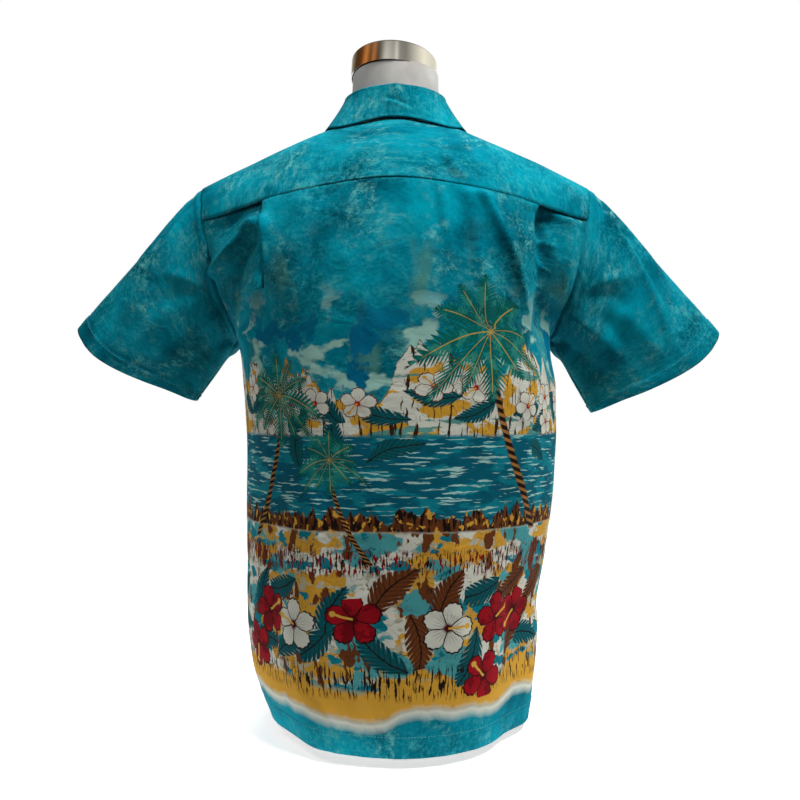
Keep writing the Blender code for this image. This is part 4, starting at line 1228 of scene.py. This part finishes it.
form_shape = bmesh.new()
bmesh.ops.create_grid(form_shape, x_segments=96, y_segments=110, size=0.5)
for vertex in form_shape.verts:
    turn, height = 2 * math.pi * (vertex.co.x + 0.5), (vertex.co.y + 0.5) * NECK_TOP
    row = {n: float(through(FORM, "height", n, np.array(height))) for n in FORM.dtype.names[1:]}
    across, along = math.cos(turn), math.sin(turn)
    depth = row["back"] if along >= 0 else row["front"]
    x = math.copysign(row["half_width"] * abs(across) ** (2 / row["square"]), across)
    vertex.co = (x, math.copysign(depth * abs(along) ** (2 / row["square"]), along), height)
bmesh.ops.remove_doubles(form_shape, verts=form_shape.verts, dist=1e-5)
bmesh.ops.holes_fill(form_shape, edges=form_shape.edges)
bmesh.ops.recalc_face_normals(form_shape, faces=form_shape.faces)
torso = made("jersey_cover", form_shape, knitted_jersey(), sharp=50)
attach(torso, "root")
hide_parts("form_torso")


def brushed_metal():
    """Satin stainless steel, brushed round the cap: grey, with fine lines that spread its reflections upright."""
    material, tree, shader = new_material("brushed_stainless_steel")
    place = add(tree, "TexCoord").node.outputs["Object"]
    stretched = add(tree, "Mapping", place, Scale=(8.0, 8.0, 2400.0))
    lines = add(tree, "TexNoise", stretched, Scale=3.0, Detail=2.0)
    rough = add(tree, "MapRange", lines, 0.3, 0.7, 0.14, 0.19)
    feed(shader, named={"Base Color": linear("#C9C6C0"), "Metallic": 1.0, "Roughness": rough})
    return material


def lathed(section, steps):
    """A shape turned round the upright axis from a section's points, each of them its reach and height."""
    shape = bmesh.new()
    corners = [shape.verts.new((reach, 0, height)) for reach, height in section]
    for start, end in zip(corners, corners[1:]):
        shape.edges.new((start, end))
    bmesh.ops.spin(
        shape, geom=shape.verts[:] + shape.edges[:], axis=(0, 0, 1), cent=(0, 0, 0), steps=steps,
        angle=2 * math.pi, use_merge=True,
    )  # fmt: skip
    bmesh.ops.remove_doubles(shape, verts=shape.verts, dist=1e-6)
    bmesh.ops.recalc_face_normals(shape, faces=shape.faces)
    return shape


CAP_RADIUS = 0.0545
CAP_HEIGHT = 0.0250
CAP_WALL = 0.0012
CAP_CENTRE = Vector((0.002, -0.004, 0.8025))
CAP_TILT = (math.radians(4), math.radians(-3))  # forward, and down on the wearer's left
CAP_EDGE = 0.0025
half, inner = CAP_HEIGHT / 2, CAP_RADIUS - CAP_WALL
section = [(0.0, half - CAP_WALL), (CAP_RADIUS - CAP_EDGE, half - CAP_WALL), (inner, half - CAP_EDGE)]
section += [(inner, -half), (CAP_RADIUS, -half), (CAP_RADIUS, half - CAP_EDGE)]
section += [
    (CAP_RADIUS - CAP_EDGE * (1 - math.cos(turn)), half - CAP_EDGE * (1 - math.sin(turn)))
    for turn in np.linspace(0, QUARTER, 6)[1:]
]
cap_shape = lathed([*section, (0.0, half)], 128)
tilt = Matrix.Rotation(CAP_TILT[0], 4, "X") @ Matrix.Rotation(CAP_TILT[1], 4, "Y")
set_on = Matrix.Translation(CAP_CENTRE + Vector((0, 0, half))) @ tilt
bmesh.ops.transform(cap_shape, matrix=set_on, verts=cap_shape.verts)
cap = made("neck_cap", cap_shape, brushed_metal(), sharp=35)
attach(cap, "root")
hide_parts("form_cap")

# ---- Buttons -------------------------------------------------------------------------------------------------
# Five four-holed buttons of coconut shell, turned and lightly polished, sewn on with turquoise thread through
# buttonholes worked in the left front.

BUTTON_HEIGHTS = (0.588, 0.493, 0.398, 0.303, 0.208)
BUTTON_PROFILE = [
    # distance from the middle and height of a button's section, from its face to its back
    (0.0, 0.0005), (0.0030, 0.0005), (0.0036, 0.0008), (0.0041, 0.0012), (0.0047, 0.0013), (0.0053, 0.0011),
    (0.0057, 0.0005), (0.0056, -0.0003), (0.0050, -0.0009), (0.0040, -0.0012), (0.0, -0.0013),
]  # fmt: skip
BUTTON_BACK = 0.0013  # from the middle of its height
BUTTON_SHANK = 0.0012  # length of thread between the button and the cloth
HOLE_OFF, HOLE_RADIUS = 0.00135, 0.00062
BUTTONHOLE, BUTTONHOLE_LIP = 0.015, 0.0007  # its length, and its stitches' distance from its cut
BAR_APART, BAR_RADIUS = 0.00022, 0.00028  # of the thread that shows between two holes


def coconut_shell():
    """Turned coconut shell: brown, flecked along its grain, with a satin polish."""
    material, tree, shader = new_material("turned_coconut_shell")
    place = add(tree, "TexCoord").node.outputs["Object"]
    grain = add(tree, "TexNoise", place, Scale=900.0, Detail=4.0, Distortion=0.5)
    tone = add(tree, "ValToRGB", grain, stops=[(0.3, "#3E2716"), (0.75, "#8A6238")])
    feed(shader, named={"Base Color": tone, "Roughness": 0.42})
    return material


drill = bmesh.new()
for hole in [(HOLE_OFF * i, HOLE_OFF * j, 0) for i in (-1, 1) for j in (-1, 1)]:
    bmesh.ops.create_cone(
        drill, cap_ends=True, segments=16, radius1=HOLE_RADIUS, radius2=HOLE_RADIUS, depth=0.01,
        matrix=Matrix.Translation(hole),
    )  # fmt: skip
blank, drill_bit = made("button_blank", lathed(BUTTON_PROFILE, 48)), made("button_drill", drill)
holes = blank.modifiers.new("Holes", "BOOLEAN")
holes.object = drill_bit
holes.solver = "EXACT"
turned_button = bpy.data.meshes.new_from_object(blank.evaluated_get(bpy.context.evaluated_depsgraph_get()))
for tool in (blank, drill_bit):
    bpy.data.objects.remove(tool)

shell = coconut_shell()
sewing_on = bmesh.new()
buttonholes = []
for number, height in enumerate(BUTTON_HEIGHTS, 1):
    run = height + np.linspace(-0.5, 0.5, 9) * BUTTONHOLE
    middle = len(run) // 2
    angles = np.full(run.shape, -QUARTER)
    line = soft_folds(worn(angles, run), angles, run)
    outs = out_of(angles, run)
    buttonholes += [(line + np.array((aside, 0, 0)), outs) for aside in (-BUTTONHOLE_LIP, BUTTONHOLE_LIP)]
    out = Vector(outs[middle])
    lie = Vector(line[middle]) + out * (CLOTH / 2 + BUTTON_SHANK + BUTTON_BACK)
    set_on = Matrix.Translation(lie) @ out.to_track_quat("Z", "X").to_matrix().to_4x4()
    shape = bmesh.new()
    shape.from_mesh(turned_button)
    bmesh.ops.transform(shape, matrix=set_on, verts=shape.verts)
    button = made(f"coconut_button_{number}", shape, shell, sharp=40)
    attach(button, "root")
    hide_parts(f"button_{number}")
    shank = Matrix.Translation((0, 0, -BUTTON_BACK - BUTTON_SHANK / 2 + 0.0003))
    bmesh.ops.create_cone(
        sewing_on, cap_ends=True, segments=12, radius1=0.0009, radius2=0.0012, depth=BUTTON_SHANK + 0.0012,
        matrix=set_on @ shank,
    )  # fmt: skip
    for x in (-HOLE_OFF - BAR_APART, -HOLE_OFF + BAR_APART, HOLE_OFF - BAR_APART, HOLE_OFF + BAR_APART):
        bar = Matrix.Translation((x, 0, 0.0006)) @ Matrix.Diagonal((BAR_RADIUS, HOLE_OFF + 0.0004, BAR_RADIUS, 1))
        bmesh.ops.create_uvsphere(sewing_on, u_segments=8, v_segments=6, radius=1.0, matrix=set_on @ bar)
sewing = made("button_sewing", sewing_on, thread)
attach(sewing, "root")
sewn("worked_buttonholes", buttonholes, pitch=0.0006, length=0.0012, turned=QUARTER)
